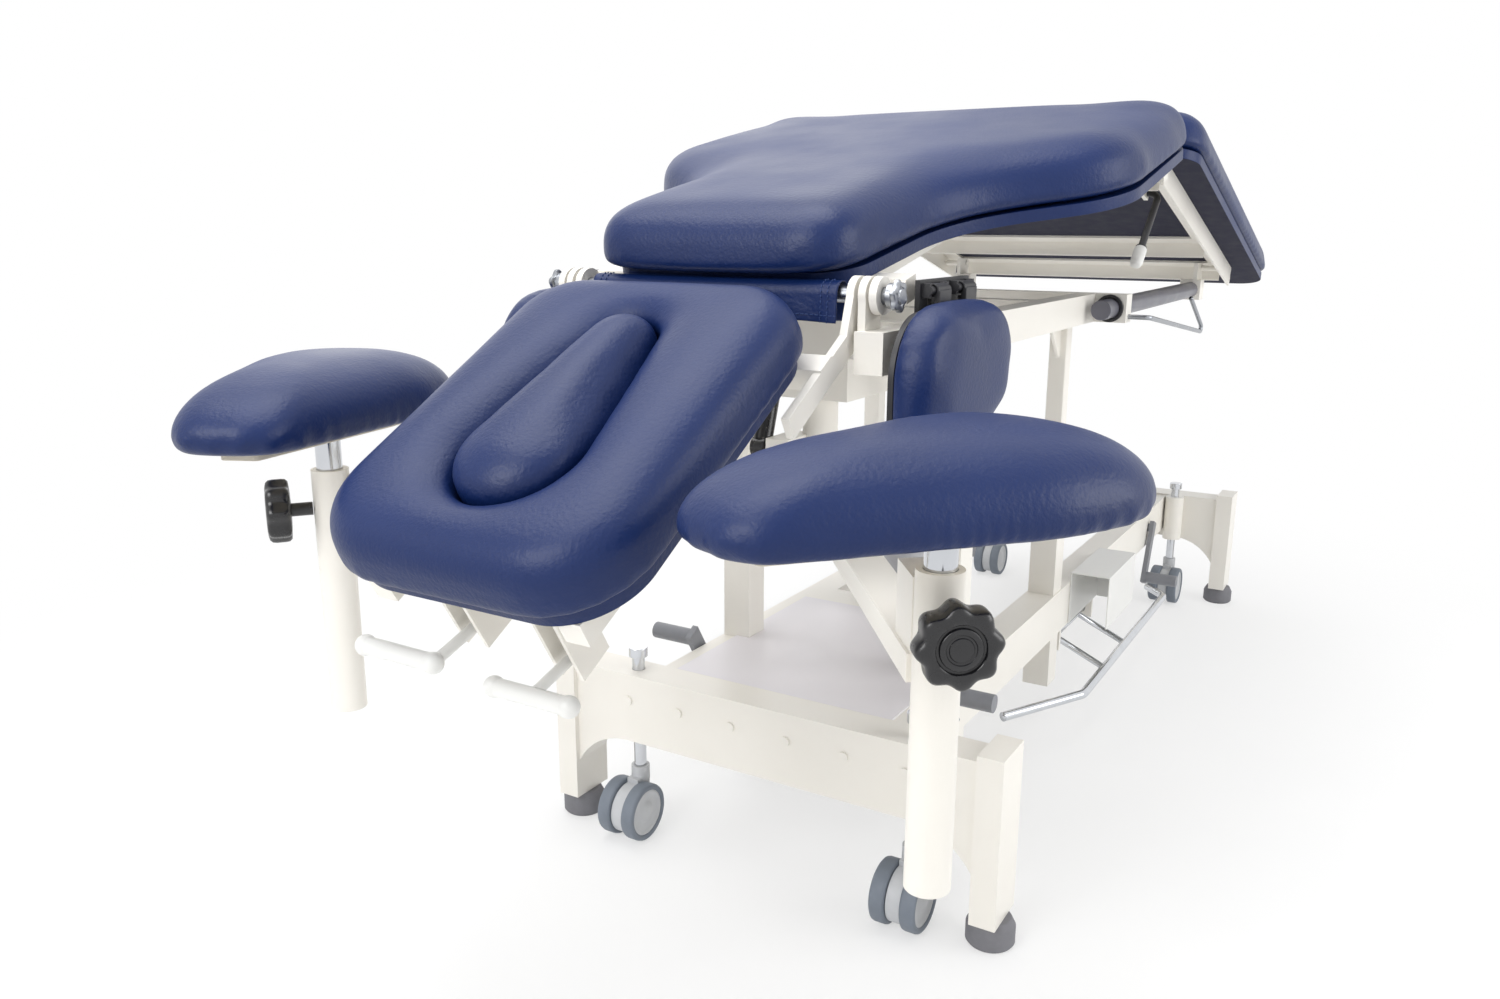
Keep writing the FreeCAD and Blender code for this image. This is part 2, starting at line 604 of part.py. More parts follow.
pad_points, pad_radii = arm_pad_outline()
arm_pad_form = dome(pad_points, pad_radii, size.arm_pad_offset + size.arm_pad_length * 0.06,
                    size.arm_pad_height, size.arm_pad_shrink, size.arm_pad_full)
plate_outline = rounded(*inset(pad_points, pad_radii, size.plate_inset), 0)
plate_form = Part.Face(plate_outline).extrude(Vector(0, 0, size.arm_plate_thickness))
for side, name in ((1, "left"), (-1, "right")):
    rise = size.arm_left_rise if side > 0 else 0
    node(f"armrest_rod_{name}", rod("arm_rod_radius", "arm_rod_top - arm_rod_bottom", "base_x + arm_post_x",
                                    f"{side} * arm_post_y", f"arm_rod_bottom + {rise}"))
    plate_z = size.arm_rod_top + rise + size.swivel_gap
    node(f"armrest_plate_{name}", on_arm(solid(plate_form), side, plate_z))
    node(f"armrest_pad_{name}", on_arm(solid(arm_pad_form), side, plate_z + size.arm_plate_thickness))
    out = Vector(arm_run.x, side * arm_run.y, 0).normalize()
    knob = solid(star_knob())
    post_side = Vector(size.base_x + size.arm_post_x, side * size.arm_post_y, size.knob_z)
    post_side += out * (size.arm_post_radius + size.slide_gap)
    knob.Placement = Placement(post_side + out * size.knob_stem, Rotation(Vector(0, 0, 1), out))
    node(f"armrest_knob_{name}", knob)

# Main section: frame, board and pad, drawn flat about the pivot line and then raised

ridge_x = size.pivot_x + size.main_length * math.cos(math.radians(size.main_angle))
ridge_z = size.pivot_z + size.main_length * math.sin(math.radians(size.main_angle))


def raised_main(thing):
    return tilt(thing, -size.main_angle, size.pivot_x, size.pivot_z)


def lowered_foot(thing):
    return tilt(thing, size.foot_angle, ridge_x, ridge_z)


def lowered_head(thing):
    return tilt(thing, -size.head_angle, size.pivot_x, size.pivot_z)


def both_sides(right):
    """A symmetric outline from its corners on one side: (x, half width, corner radius)."""
    points = [(x, -half) for x, half, radius in right] + [(x, half) for x, half, radius in reversed(right)]
    radii = [radius for x, half, radius in right]
    return points, radii + radii[::-1]


def section(name, outline, board_outline, bottom, height, move):
    """A board and the pad on it, with the board set back from its own outline."""
    points, radii = outline
    board_face = Part.Face(rounded(*inset(*board_outline, size.board_inset), bottom))
    board = node(name + "_board", solid(board_face.extrude(Vector(0, 0, size.board_thickness))))
    pad_form = cushion(points, radii, bottom + size.board_thickness, height, size.crown, size.pad_edge,
                       size.pad_roll, size.pad_full)
    pad = node(name + "_pad", solid(pad_form))
    move(board)
    move(pad)
    return pad


far_end = size.main_length - size.section_gap / 2
main_sides = [(238, size.neck_half + 17, 170), (358, size.shoulder_half, 140), (far_end, size.ridge_half, 58)]
main_outline = both_sides([(-size.main_overhang, size.neck_half, 62)] + main_sides)
main_board_outline = both_sides([(0, size.neck_half, 62)] + main_sides)
section("main", main_outline, main_board_outline, size.board_lift, size.pad_height, raised_main)


def flat_box(length, width, height, x, y, z):
    """A block with its middle at x, y and its foot at z, in a section's own flat frame."""
    return Part.makeBox(length, width, height, Vector(x - length / 2, y - width / 2, z))


def hinge_eye(y_inner, length, thickness, foot_top):
    """A hinge plate with a round eye on the pivot line and a foot along the section."""
    eye = cross_pin(size.eye_radius, thickness, 0, y_inner, 0)
    foot = Part.makeBox(abs(length), thickness, size.eye_radius + foot_top,
                        Vector(min(length, 0), y_inner, -size.eye_radius))
    hole = cross_pin(size.pin_radius + size.pin_gap, thickness + 2, 0, y_inner - 1, 0)
    return eye.fuse(foot).cut(hole)


def mirror_pair(shape):
    return [shape, shape.mirror(Vector(), Vector(0, 1, 0))]


def welded(shapes):
    return solid(shapes[0].multiFuse(shapes[1:]).removeSplitter())


tube = size.rail_tube
main_rail_y = 112
eye_y = size.pivot_plate_y + size.plate_thickness / 2 + 3
eye_bar_x = 62
spring_drop = 16
spring_x = math.sqrt(size.spring_reach ** 2 - spring_drop ** 2)
rail_bottom = size.board_lift - tube
main_bars = mirror_pair(flat_box(far_end - eye_bar_x, tube, tube, (far_end + eye_bar_x) / 2, main_rail_y,
                                 rail_bottom))
for along, half in ((eye_bar_x, eye_y + size.plate_thickness), (spring_x + 26, main_rail_y),
                    (far_end - 66, 296)):
    main_bars.append(flat_box(tube, 2 * half, tube, along, 0, rail_bottom))
main_bars += mirror_pair(hinge_eye(eye_y, eye_bar_x, size.plate_thickness, 0))
ear = Part.makeBox(30, 5, 30, Vector(spring_x - 14, 0, rail_bottom - 6))
ear_gap = size.spring_eye + 2
for y in (size.spring_y - ear_gap - 5, size.spring_y + ear_gap):
    main_bars.append(ear.translated(Vector(0, y, 0)))
main_bars.append(cross_pin(size.link_pin_radius, 2 * ear_gap + 2, spring_x, size.spring_y - ear_gap - 1,
                           -spring_drop))
eye_y_ridge, eye_width = size.ridge_eye_y, size.ridge_eye_width
knuckle = cross_pin(size.ridge_eye_radius, eye_width, size.main_length, eye_y_ridge, 0)
link = Part.makeBox(96, eye_width, 12, Vector(size.main_length - 96, eye_y_ridge, -12))
pin_bore = cross_pin(size.ridge_pin_radius + size.pin_gap, 3 * eye_width, size.main_length,
                     eye_y_ridge - eye_width, 0)
main_bars += mirror_pair(knuckle.fuse(link).cut(pin_bore))
raised_main(node("main_frame", welded(main_bars)))

# Foot section: hinged to the main section at the ridge, with an angle frame below

foot_outline = both_sides([(size.section_gap / 2, size.foot_half, 58),
                           (size.foot_length, size.foot_half, 62)])
section("foot", foot_outline, foot_outline, size.board_lift, size.pad_height, lowered_foot)


def angle_rail(length, x, y, turned_in):
    """An angle iron along the section: a flange under the board and a web on its outer side."""
    flange = flat_box(length, size.angle_leg, size.angle_wall, x, y, size.board_lift - size.angle_wall)
    web_y = y + turned_in * (size.angle_leg - size.angle_wall) / 2
    web = flat_box(length, size.angle_wall, size.angle_leg, x, web_y, size.board_lift - size.angle_leg)
    return flange.fuse(web)


rail_start = 34
rail_end = size.carriage_reach + 62
rail_middle = (rail_start + rail_end) / 2
foot_bars = mirror_pair(angle_rail(rail_end - rail_start, rail_middle, size.foot_rail_y, 1))
for along in (rail_start + 30, size.carriage_reach - 150, size.carriage_reach + 30):
    foot_bars.append(flat_box(size.angle_leg, 2 * size.foot_rail_y, size.angle_wall, along, 0,
                              size.board_lift - size.angle_wall))
    foot_bars.append(flat_box(size.angle_wall, 2 * size.foot_rail_y, size.angle_leg - 6,
                              along + size.angle_leg / 2, 0, size.board_lift - size.angle_leg + 6))
foot_eye_y = eye_y_ridge - eye_width - 1
foot_knuckle = cross_pin(size.ridge_eye_radius, eye_width, 0, foot_eye_y, 0)
foot_link = Part.makeBox(rail_start + 8, eye_width, 12, Vector(0, foot_eye_y, -12))
ridge_pin = cross_pin(size.ridge_pin_radius, 2 * eye_width + 3, 0, foot_eye_y, 0)
foot_bars += mirror_pair(foot_knuckle.fuse([foot_link, ridge_pin]))
pin_start = size.slide_y + 2
carriage_pin = cross_pin(size.link_pin_radius, size.foot_rail_y + size.angle_leg / 2 - 1 - pin_start,
                         size.carriage_reach, pin_start, -size.carriage_drop)
foot_bars += mirror_pair(carriage_pin)
lever_u, lever_w = rail_start + 66, -24
for y in (-150, 20 - size.lever_y):
    lever_ear = flat_box(30, 6, size.angle_leg, lever_u - 6, y, size.board_lift - size.angle_leg)
    lever_hole = cross_pin(size.lever_radius + size.pin_gap, 60, lever_u, y - 30, lever_w)
    foot_bars.append(lever_ear.cut(lever_hole))
lowered_foot(node("foot_frame", welded(foot_bars)))

# Carriage: a bracket at each side on the foot frame's pins, with the slide tubes fixed to it

foot_turn = math.radians(size.foot_angle)
lean, level = math.sin(foot_turn), math.cos(foot_turn)
carriage_x = ridge_x + size.carriage_reach * level - size.carriage_drop * lean
carriage_z = ridge_z - size.carriage_reach * lean - size.carriage_drop * level
bracket_foot = size.slide_z - size.slide_radius - 4
bracket_plate = Part.makeBox(46, 7, carriage_z + 10 - bracket_foot,
                             Vector(carriage_x - 34, size.slide_y + 4, bracket_foot))
bracket_block = Part.makeBox(34, 2 * size.slide_radius + 8, 2 * size.slide_radius + 8,
                             Vector(carriage_x - 34, size.slide_y - size.slide_radius - 4, bracket_foot))
bracket_hole = cross_pin(size.link_pin_radius + size.pin_gap, 60, carriage_x, size.slide_y - 30, carriage_z)
node("carriage_brackets", solid(Part.makeCompound(
    mirror_pair(bracket_plate.fuse(bracket_block).cut(bracket_hole).removeSplitter()))))
slide_tube = Part.makeCylinder(size.slide_radius, size.slide_length,
                               Vector(carriage_x - 34 - size.slide_length, size.slide_y, size.slide_z),
                               Vector(1, 0, 0))
node("slide_tubes", solid(Part.makeCompound(mirror_pair(slide_tube))))
beam_face = size.base_x + size.post_rear_x - size.frame_tube_width / 2
flange_length = size.frame_tube_width + 2 * size.bush_flange


def on_slide(radius, length, x):
    """A round bar on the left slide's line, from x onwards."""
    return Part.makeCylinder(radius, length, Vector(x, size.slide_y, size.slide_z), Vector(1, 0, 0))


bush = on_slide(size.bush_radius, size.frame_tube_width, beam_face)
for x in (beam_face - size.bush_flange, beam_face + size.frame_tube_width):
    bush = bush.fuse(on_slide(size.bush_radius + 1.5, size.bush_flange, x))
bush_bore = on_slide(size.slide_radius + size.bush_gap, flange_length + 2, beam_face - size.bush_flange - 1)
node("slide_bushes", solid(Part.makeCompound(mirror_pair(bush.cut(bush_bore)))))

# Break release lever: a black bent rod under the foot frame

lever_tip = (34, -size.lever_y, -123)
lever_route = [(lever_u, -130, lever_w), (lever_u, -size.lever_y, lever_w), lever_tip]
lever_rod = bent_rod(lever_route, size.lever_radius, 16)
tip_axis = Vector(lever_tip[0] - lever_u, 0, lever_tip[2] - lever_w).normalize()
lever_grip = Part.makeCylinder(size.lever_grip_radius, size.lever_grip_length,
                               Vector(*lever_tip) - tip_axis * 4, tip_axis)
lowered_foot(node("break_lever", welded([lever_rod, lever_grip])))

# Gas spring between the armrest column and the main section

spring_lift = math.degrees(math.asin(spring_drop / size.spring_reach))
top_turn = math.radians(size.main_angle - spring_lift)
spring_high = Vector(size.pivot_x + size.spring_reach * math.cos(top_turn), size.spring_y,
                     size.pivot_z + size.spring_reach * math.sin(top_turn))
spring_axis = (spring_high - spring_low).normalize()


def spring_end(centre, radius):
    disc = cross_pin(radius, 2 * size.spring_eye, centre.x, centre.y - size.spring_eye, centre.z)
    hole = cross_pin(size.link_pin_radius + size.spring_gap, 3 * size.spring_eye, centre.x,
                     centre.y - 1.5 * size.spring_eye, centre.z)
    return disc, hole


low_disc, low_hole = spring_end(spring_low, 13)
spring_tube = Part.makeCylinder(size.spring_radius, size.spring_body - 8, spring_low + spring_axis * 8,
                                spring_axis)
spring_bore = Part.makeCylinder(size.spring_rod_radius + 0.3, size.spring_body,
                                spring_low + spring_axis * 22, spring_axis)
node("gas_spring_body", solid(spring_tube.fuse(low_disc).cut(low_hole).cut(spring_bore).removeSplitter()))
high_disc, high_hole = spring_end(spring_high, 11)
spring_rod = Part.makeCylinder(size.spring_rod_radius, 170, spring_high - spring_axis * 176, spring_axis)
node("gas_spring_rod", solid(spring_rod.fuse(high_disc).cut(high_hole).removeSplitter()))

# Side wings: a pad on a hinged board, hanging beside the neck of the main section

wing_outline = ([(0, -183), (88, -183), (218, -117), (245, -8), (0, -8)], [25, 40, 40, 60, 70])
wing_axis_z = size.wing_top + 8
wing_board_thickness = 6
wing_start = size.base_x + size.wing_x
knuckle_places = (128, 198)
UPRIGHT = Rotation(Vector(1, 0, 0), 90)


def wing_form(shape, y):
    """Stand a wing piece upright below its hinge, its face outwards on the right-hand side."""
    shape.Placement = Placement(Vector(wing_start, -y, wing_axis_z), UPRIGHT)
    return shape


def hinge_rod(radius, middle, length):
    start = Vector(wing_start + middle - length / 2, -wing_axis_y, wing_axis_z)
    return Part.makeCylinder(radius, length, start, Vector(1, 0, 0))


wing_pad_y = size.wing_y - 16
wing_board_y = wing_pad_y - wing_board_thickness
wing_axis_y = wing_board_y - 2
wing_face = Part.Face(rounded(*inset(*wing_outline, 10), 0))
right_board = wing_form(wing_face.extrude(Vector(0, 0, wing_board_thickness)), wing_board_y)
wing_pad_form = cushion(*wing_outline, 0, size.wing_thickness, 5, size.wing_edge, size.pad_roll,
                        size.pad_full)
right_pad = wing_form(wing_pad_form, wing_pad_y)
for middle in knuckle_places:
    strap = Part.makeBox(30, wing_board_thickness, 36,
                         Vector(wing_start + middle - 15, -wing_pad_y, wing_axis_z - 36))
    right_board = right_board.multiFuse([strap, hinge_rod(size.wing_pin_radius + 2.5, middle, 30)])
pin_gap_rod = hinge_rod(size.wing_pin_radius + size.pin_gap, sum(knuckle_places) / 2, 300)
right_board = right_board.cut(pin_gap_rod).removeSplitter()
node("wing_board_right", solid(right_board))
node("wing_pad_right", solid(right_pad))
node("wing_board_left", solid(right_board.mirror(Vector(), Vector(0, 1, 0))))
node("wing_pad_left", solid(right_pad.mirror(Vector(), Vector(0, 1, 0))))
bracket_inner = size.frame_half_width + size.frame_tube_width / 2
bracket_start = wing_start + knuckle_places[0] - 30
bracket_length = knuckle_places[1] - knuckle_places[0] + 60
wing_bracket = Part.makeBox(bracket_length, 5, wing_axis_z + 10 - size.frame_bottom,
                            Vector(bracket_start, -bracket_inner - 5, size.frame_bottom))
for along in (25, 65, 105):
    slot = Part.makeBox(10, 20, 36,
                        Vector(bracket_start + along - 5, -bracket_inner - 10, size.frame_bottom + 30))
    wing_bracket = wing_bracket.cut(slot)
ear_depth = wing_axis_y - bracket_inner + 1
for middle in knuckle_places:
    for x in (middle - 24, middle + 18):
        ear = Part.makeBox(6, ear_depth, 14,
                           Vector(wing_start + x, -bracket_inner - ear_depth, wing_axis_z - 7))
        wing_bracket = wing_bracket.fuse(ear)
    wing_bracket = wing_bracket.fuse(hinge_rod(size.wing_pin_radius, middle, 48))
node("wing_brackets", solid(Part.makeCompound(mirror_pair(wing_bracket.removeSplitter()))))

# Head section: a board with a pad, a teardrop breathing hole and its plug, on a hinged frame

head_near = -size.head_offset - size.head_length
head_outline = both_sides([(head_near, size.head_half, 84), (-size.head_offset, size.head_half - 4, 72)])
hole_wide_x = head_near + size.hole_inset
hole_narrow_x = hole_wide_x + size.hole_length - size.hole_wide - size.hole_narrow


def teardrop(grow, z):
    """A wide round end and a narrow one, joined by tangent sides."""
    wide, narrow = size.hole_wide + grow, size.hole_narrow + grow
    lean = math.asin((wide - narrow) / (hole_narrow_x - hole_wide_x))
    across = Vector(math.sin(lean), math.cos(lean), 0)
    below = Vector(across.x, -across.y, 0)
    wide_c, narrow_c = Vector(hole_wide_x, 0, z), Vector(hole_narrow_x, 0, z)
    tip, tail = wide_c - Vector(wide, 0, 0), narrow_c + Vector(narrow, 0, 0)
    corner = Vector(-math.cos(math.pi / 4), math.sin(math.pi / 4), 0)
    edges = [Part.LineSegment(wide_c + below * wide, narrow_c + below * narrow).toShape(),
             Part.Arc(narrow_c + below * narrow, tail, narrow_c + across * narrow).toShape(),
             Part.LineSegment(narrow_c + across * narrow, wide_c + across * wide).toShape(),
             Part.Arc(wide_c + across * wide, wide_c + corner * wide, tip).toShape(),
             Part.Arc(tip, wide_c + Vector(corner.x, -corner.y, 0) * wide, wide_c + below * wide).toShape()]
    return Part.Wire(edges)


pad_bottom = size.head_lift + size.board_thickness
head_top = pad_bottom + size.head_pad_height
head_form = cushion(*head_outline, pad_bottom, size.head_pad_height, size.crown, size.pad_edge,
                    size.pad_roll, size.pad_full)
hole_cut = Part.Face(teardrop(0, pad_bottom - 1)).extrude(Vector(0, 0, size.head_pad_height + 4))
dish = Part.makeLoft([teardrop(6, head_top - 16), teardrop(34, head_top + 3)], True, True)
lowered_head(node("head_pad", solid(head_form.cut(hole_cut).cut(dish))))
head_board_face = Part.Face(rounded(*inset(*head_outline, size.board_inset), size.head_lift))
board_hole_face = Part.Face(teardrop(-size.board_inset, size.head_lift - 1))
board_hole = board_hole_face.extrude(Vector(0, 0, size.board_thickness + 2))
head_board_form = head_board_face.extrude(Vector(0, 0, size.board_thickness)).cut(board_hole)
lowered_head(node("head_board", solid(head_board_form)))
plug_levels = ((pad_bottom + 0.3, -size.plug_gap - 5), (pad_bottom + 12, -size.plug_gap),
               (head_top - 18, -size.plug_gap), (head_top - 9, -8), (head_top - 4, -20))
plug_form = Part.makeLoft([teardrop(grow, z) for z, grow in plug_levels], True, True)
lowered_head(node("head_plug", solid(plug_form)))

rail_w = size.head_lift - tube
eye_inner = size.pivot_plate_y - size.plate_thickness / 2 - 4 - size.plate_thickness
arm_points = [(-170, rail_w), (-30, rail_w), (14, -12), (10, 14), (-12, 12), (-44, size.head_lift - 2),
              (-170, size.head_lift - 2)]
corners = [Vector(x, eye_inner, z) for x, z in arm_points]
eye_arm = Part.Face(Part.makePolygon(corners + corners[:1])).extrude(Vector(0, size.plate_thickness, 0))
eye_arm = eye_arm.fuse(cross_pin(size.eye_radius, size.plate_thickness, 0, eye_inner, 0))
eye_arm = eye_arm.cut(cross_pin(size.pin_radius + size.pin_gap, 40, 0, eye_inner - 10, 0))
head_rail_y = 104
head_bars = mirror_pair(eye_arm)
head_bars += mirror_pair(flat_box(360, tube, tube, -250, head_rail_y, rail_w))
for along, half in ((-90, eye_inner + size.plate_thickness), (-400, head_rail_y)):
    head_bars.append(flat_box(tube, 2 * half, tube, along, 0, rail_w))
LEVERS = {"tee": (-378, -39, -116), "ell": (-392, 40, -80)}
for pivot_u, pivot_y, pivot_w in LEVERS.values():
    for y in (pivot_y - 14, pivot_y + 10):
        cheek = Part.makeBox(40, 4, rail_w - pivot_w + 22, Vector(pivot_u - 26, y, pivot_w - 12))
        head_bars.append(cheek.cut(Part.makeBox(60, 60, 90, Vector(pivot_u - 90, y - 20, rail_w + tube))))
    head_bars.append(cross_pin(size.head_pin_radius, 24, pivot_u, pivot_y - 12, pivot_w))
lowered_head(node("head_frame", welded(head_bars)))
GRIPS = {"tee": (-448, -39, -100), "ell": (-462, 80, -66)}
for name, pivot in LEVERS.items():
    grip = GRIPS[name]
    eye = cross_pin(9, 16, pivot[0], pivot[1] - 8, pivot[2])
    eye_hole = cross_pin(size.head_pin_radius + size.pin_gap, 40, pivot[0], pivot[1] - 20, pivot[2])
    stem = Part.makeCylinder(size.lever_radius, math.dist(pivot[::2], grip[::2]), Vector(*pivot),
                             Vector(grip[0] - pivot[0], 0, grip[2] - pivot[2]))
    half_grip = size.grip_length / 2
    bar_end = cross_pin(size.lever_grip_radius, size.grip_length, grip[0], grip[1] - half_grip, grip[2])
    for y in (-half_grip, half_grip):
        bar_end = bar_end.fuse(Part.makeSphere(9.5, Vector(grip[0], grip[1] + y, grip[2])))
    lowered_head(node(f"head_lever_{name}", welded([eye.fuse(stem).cut(eye_hole), bar_end])))

# Casters: chrome stems, a fork on each, and twin wheels

wheel_z = size.wheel_radius + size.caster_floor_gap
fork_top = 2 * size.wheel_radius + 16
hub_half = size.wheel_gap / 2


def caster_stem(x, top):
    stem = rod("stem_radius", f"{top} - {fork_top + 0.3}", x, "caster_y", f"{fork_top + 0.3}")
    cap = rod("stem_radius + 4", "cap_height", x, "caster_y", f"{top}")
    return fuse(stem, cap)


def caster_fork():
    """A hood between the wheels with the axle and the swivel boss, drawn about its stem."""
    axle_x = -size.caster_trail
    boss = Part.makeCylinder(12, 20, Vector(0, 0, fork_top - 20))
    hood = cross_pin(size.wheel_radius - 5, size.wheel_gap - 1, axle_x, -hub_half + 0.5, wheel_z)
    neck = Part.makeBox(26, size.wheel_gap - 1, 34, Vector(-18, -hub_half + 0.5, fork_top - 48))
    axle = cross_pin(size.axle_radius, size.wheel_gap + 2 * size.wheel_width - 6, axle_x,
                     -hub_half - size.wheel_width + 3, wheel_z)
    return hood.multiFuse([boss, neck, axle]).removeSplitter()


def twin_wheels():
    """Two dished wheels on the axle, drawn about the stem."""
    radius, width = size.wheel_radius, size.wheel_width
    bore = size.axle_radius + size.pin_gap
    profile = [(bore, 0), (radius - 3, 0), (radius, 3), (radius, width - 6), (radius - 5, width),
               (radius - 9, width - 3), (bore, width - 3)]
    corners = [Vector(r, 0, z) for r, z in profile]
    wheel = Part.Face(Part.makePolygon(corners + corners[:1])).revolve(Vector(), Vector(0, 0, 1), 360)
    wheel.Placement = Placement(Vector(-size.caster_trail, hub_half, wheel_z),
                                Rotation(Vector(1, 0, 0), -90))
    return Part.makeCompound(mirror_pair(wheel))


for end, along in (("front", "caster_front_x"), ("rear", "caster_rear_x")):
    stem_x = f"base_x + {along}"
    node(f"caster_stems_{end}", group(*pair(caster_stem(stem_x, "beam_bottom + beam_height + cap_lift"))))
    for side, name in ((1, "left"), (-1, "right")):
        for label, shape in (("fork", caster_fork()), ("wheels", twin_wheels())):
            thing = solid(shape)
            stem_foot = Vector(size.base_x + getattr(size, along), side * size.caster_y, 0)
            thing.Placement = Placement(stem_foot, Rotation())
            node(f"caster_{label}_{end}_{name}", thing)

# Caster pedals: a shaft through both side rails with an arm and a round pad at each end

PEDALS = {"front": (size.pedal_front_x, -30, 47), "rear": (size.pedal_rear_x, -40, -92)}
arm_start = size.rail_y + size.rail_width / 2 + 4
for end, (along, reach, rise) in PEDALS.items():
    centre = Vector(size.base_x + along, 0, size.pedal_z)
    shaft = cross_pin(size.pedal_shaft_radius, 2 * arm_start + 16, centre.x, -arm_start - 8, centre.z)
    run = Vector(reach, 0, rise)
    arm = Part.makeBox(run.Length + 24, 8, 22, Vector(-12, arm_start, -11))
    arm.Placement = Placement(centre, Rotation(Vector(0, 1, 0), math.degrees(math.atan2(-rise, reach))))
    pad = cross_pin(size.pedal_pad_radius, size.pedal_pad_length, centre.x + reach, arm_start + 4,
                    centre.z + rise)
    node(f"pedal_{end}", welded([shaft] + mirror_pair(arm) + mirror_pair(pad)))

# Foot bars: a chrome bar along each side on two links, turning on a shaft under the side rail

bar_points = [(-301, -size.bar_shaft_y - 10, size.bar_z), (-157, -size.bar_y, size.bar_z),
              (396, -size.bar_y, size.bar_z), (440, -size.bar_shaft_y - 46, size.bar_z)]
bar_run = bent_rod([(size.base_x + x, y, z) for x, y, z in bar_points], size.bar_radius, 30)
shaft_start = Vector(size.base_x - 70, -size.bar_shaft_y, size.bar_shaft_z)
bar_shaft = Part.makeCylinder(size.bar_radius, 218, shaft_start, Vector(1, 0, 0))
foot_bar = [bar_run, bar_shaft]
for along in (-34, 98):
    low = Vector(size.base_x + along, -size.bar_y, size.bar_z)
    high = Vector(size.base_x + along, -size.bar_shaft_y, size.bar_shaft_z)
    foot_bar.append(Part.makeCylinder(5, (high - low).Length, low, high - low))
right_bar = foot_bar[0].multiFuse(foot_bar[1:])
node("foot_bar_right", solid(right_bar))
node("foot_bar_left", solid(right_bar.mirror(Vector(), Vector(0, 1, 0))))

doc.recompute()
for thing in doc.Objects:
    if "Invalid" in thing.State or "Error" in thing.State:
        raise RuntimeError(f"{thing.Label} failed: {thing.State}")
os.makedirs("parts", exist_ok=True)
for thing in nodes:
    if thing.Shape.isNull() or not thing.Shape.isValid() or not thing.Shape.Solids:
        raise RuntimeError(f"{thing.Label} has no valid shape")
for thing in nodes:
    thing.Shape.exportStep(f"parts/{thing.Label}.step")
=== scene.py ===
import json
import math

import bmesh
import bpy
import numpy as np
from mathutils import Matrix, Vector


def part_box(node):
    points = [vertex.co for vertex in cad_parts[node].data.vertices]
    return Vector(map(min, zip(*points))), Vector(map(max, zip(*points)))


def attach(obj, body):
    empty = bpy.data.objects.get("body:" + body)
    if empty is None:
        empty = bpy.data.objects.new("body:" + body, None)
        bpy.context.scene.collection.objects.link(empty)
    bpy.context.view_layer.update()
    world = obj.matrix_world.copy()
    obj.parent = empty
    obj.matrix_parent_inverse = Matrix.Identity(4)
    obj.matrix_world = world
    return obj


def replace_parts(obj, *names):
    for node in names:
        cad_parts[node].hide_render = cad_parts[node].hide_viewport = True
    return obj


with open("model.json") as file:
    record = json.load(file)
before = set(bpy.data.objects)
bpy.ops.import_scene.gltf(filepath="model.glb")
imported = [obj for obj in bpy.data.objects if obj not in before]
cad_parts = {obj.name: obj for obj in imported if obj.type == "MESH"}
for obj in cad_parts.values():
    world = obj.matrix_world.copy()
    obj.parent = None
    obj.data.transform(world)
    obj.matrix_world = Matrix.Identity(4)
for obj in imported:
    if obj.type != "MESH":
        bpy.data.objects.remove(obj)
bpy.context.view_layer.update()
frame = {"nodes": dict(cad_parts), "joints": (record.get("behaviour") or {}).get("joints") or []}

# Base: welded square steel tube, with two end frames, two side rails and the sleeves of the guide posts.
# The steel is powder coated in warm ivory; the coat flows round every edge and bakes to a faint orange peel.

MM = 0.001


def srgb(text):
    """A hex colour as linear red, green and blue with full alpha."""
    channels = np.array([int(text[i:i + 2], 16) for i in (1, 3, 5)]) / 255
    linear = np.where(channels <= 0.04045, channels / 12.92, ((channels + 0.055) / 1.055) ** 2.4)
    return (*linear.tolist(), 1.0)


def add(tree, kind, inputs, **settings):
    """One node: settings are its properties; inputs are values or feeding sockets, by name or number."""
    made = tree.nodes.new(kind)
    for name, value in settings.items():
        setattr(made, name, value)
    for name, value in inputs.items():
        if isinstance(value, bpy.types.NodeSocket):
            tree.links.new(value, made.inputs[name])
        else:
            made.inputs[name].default_value = value
    return made


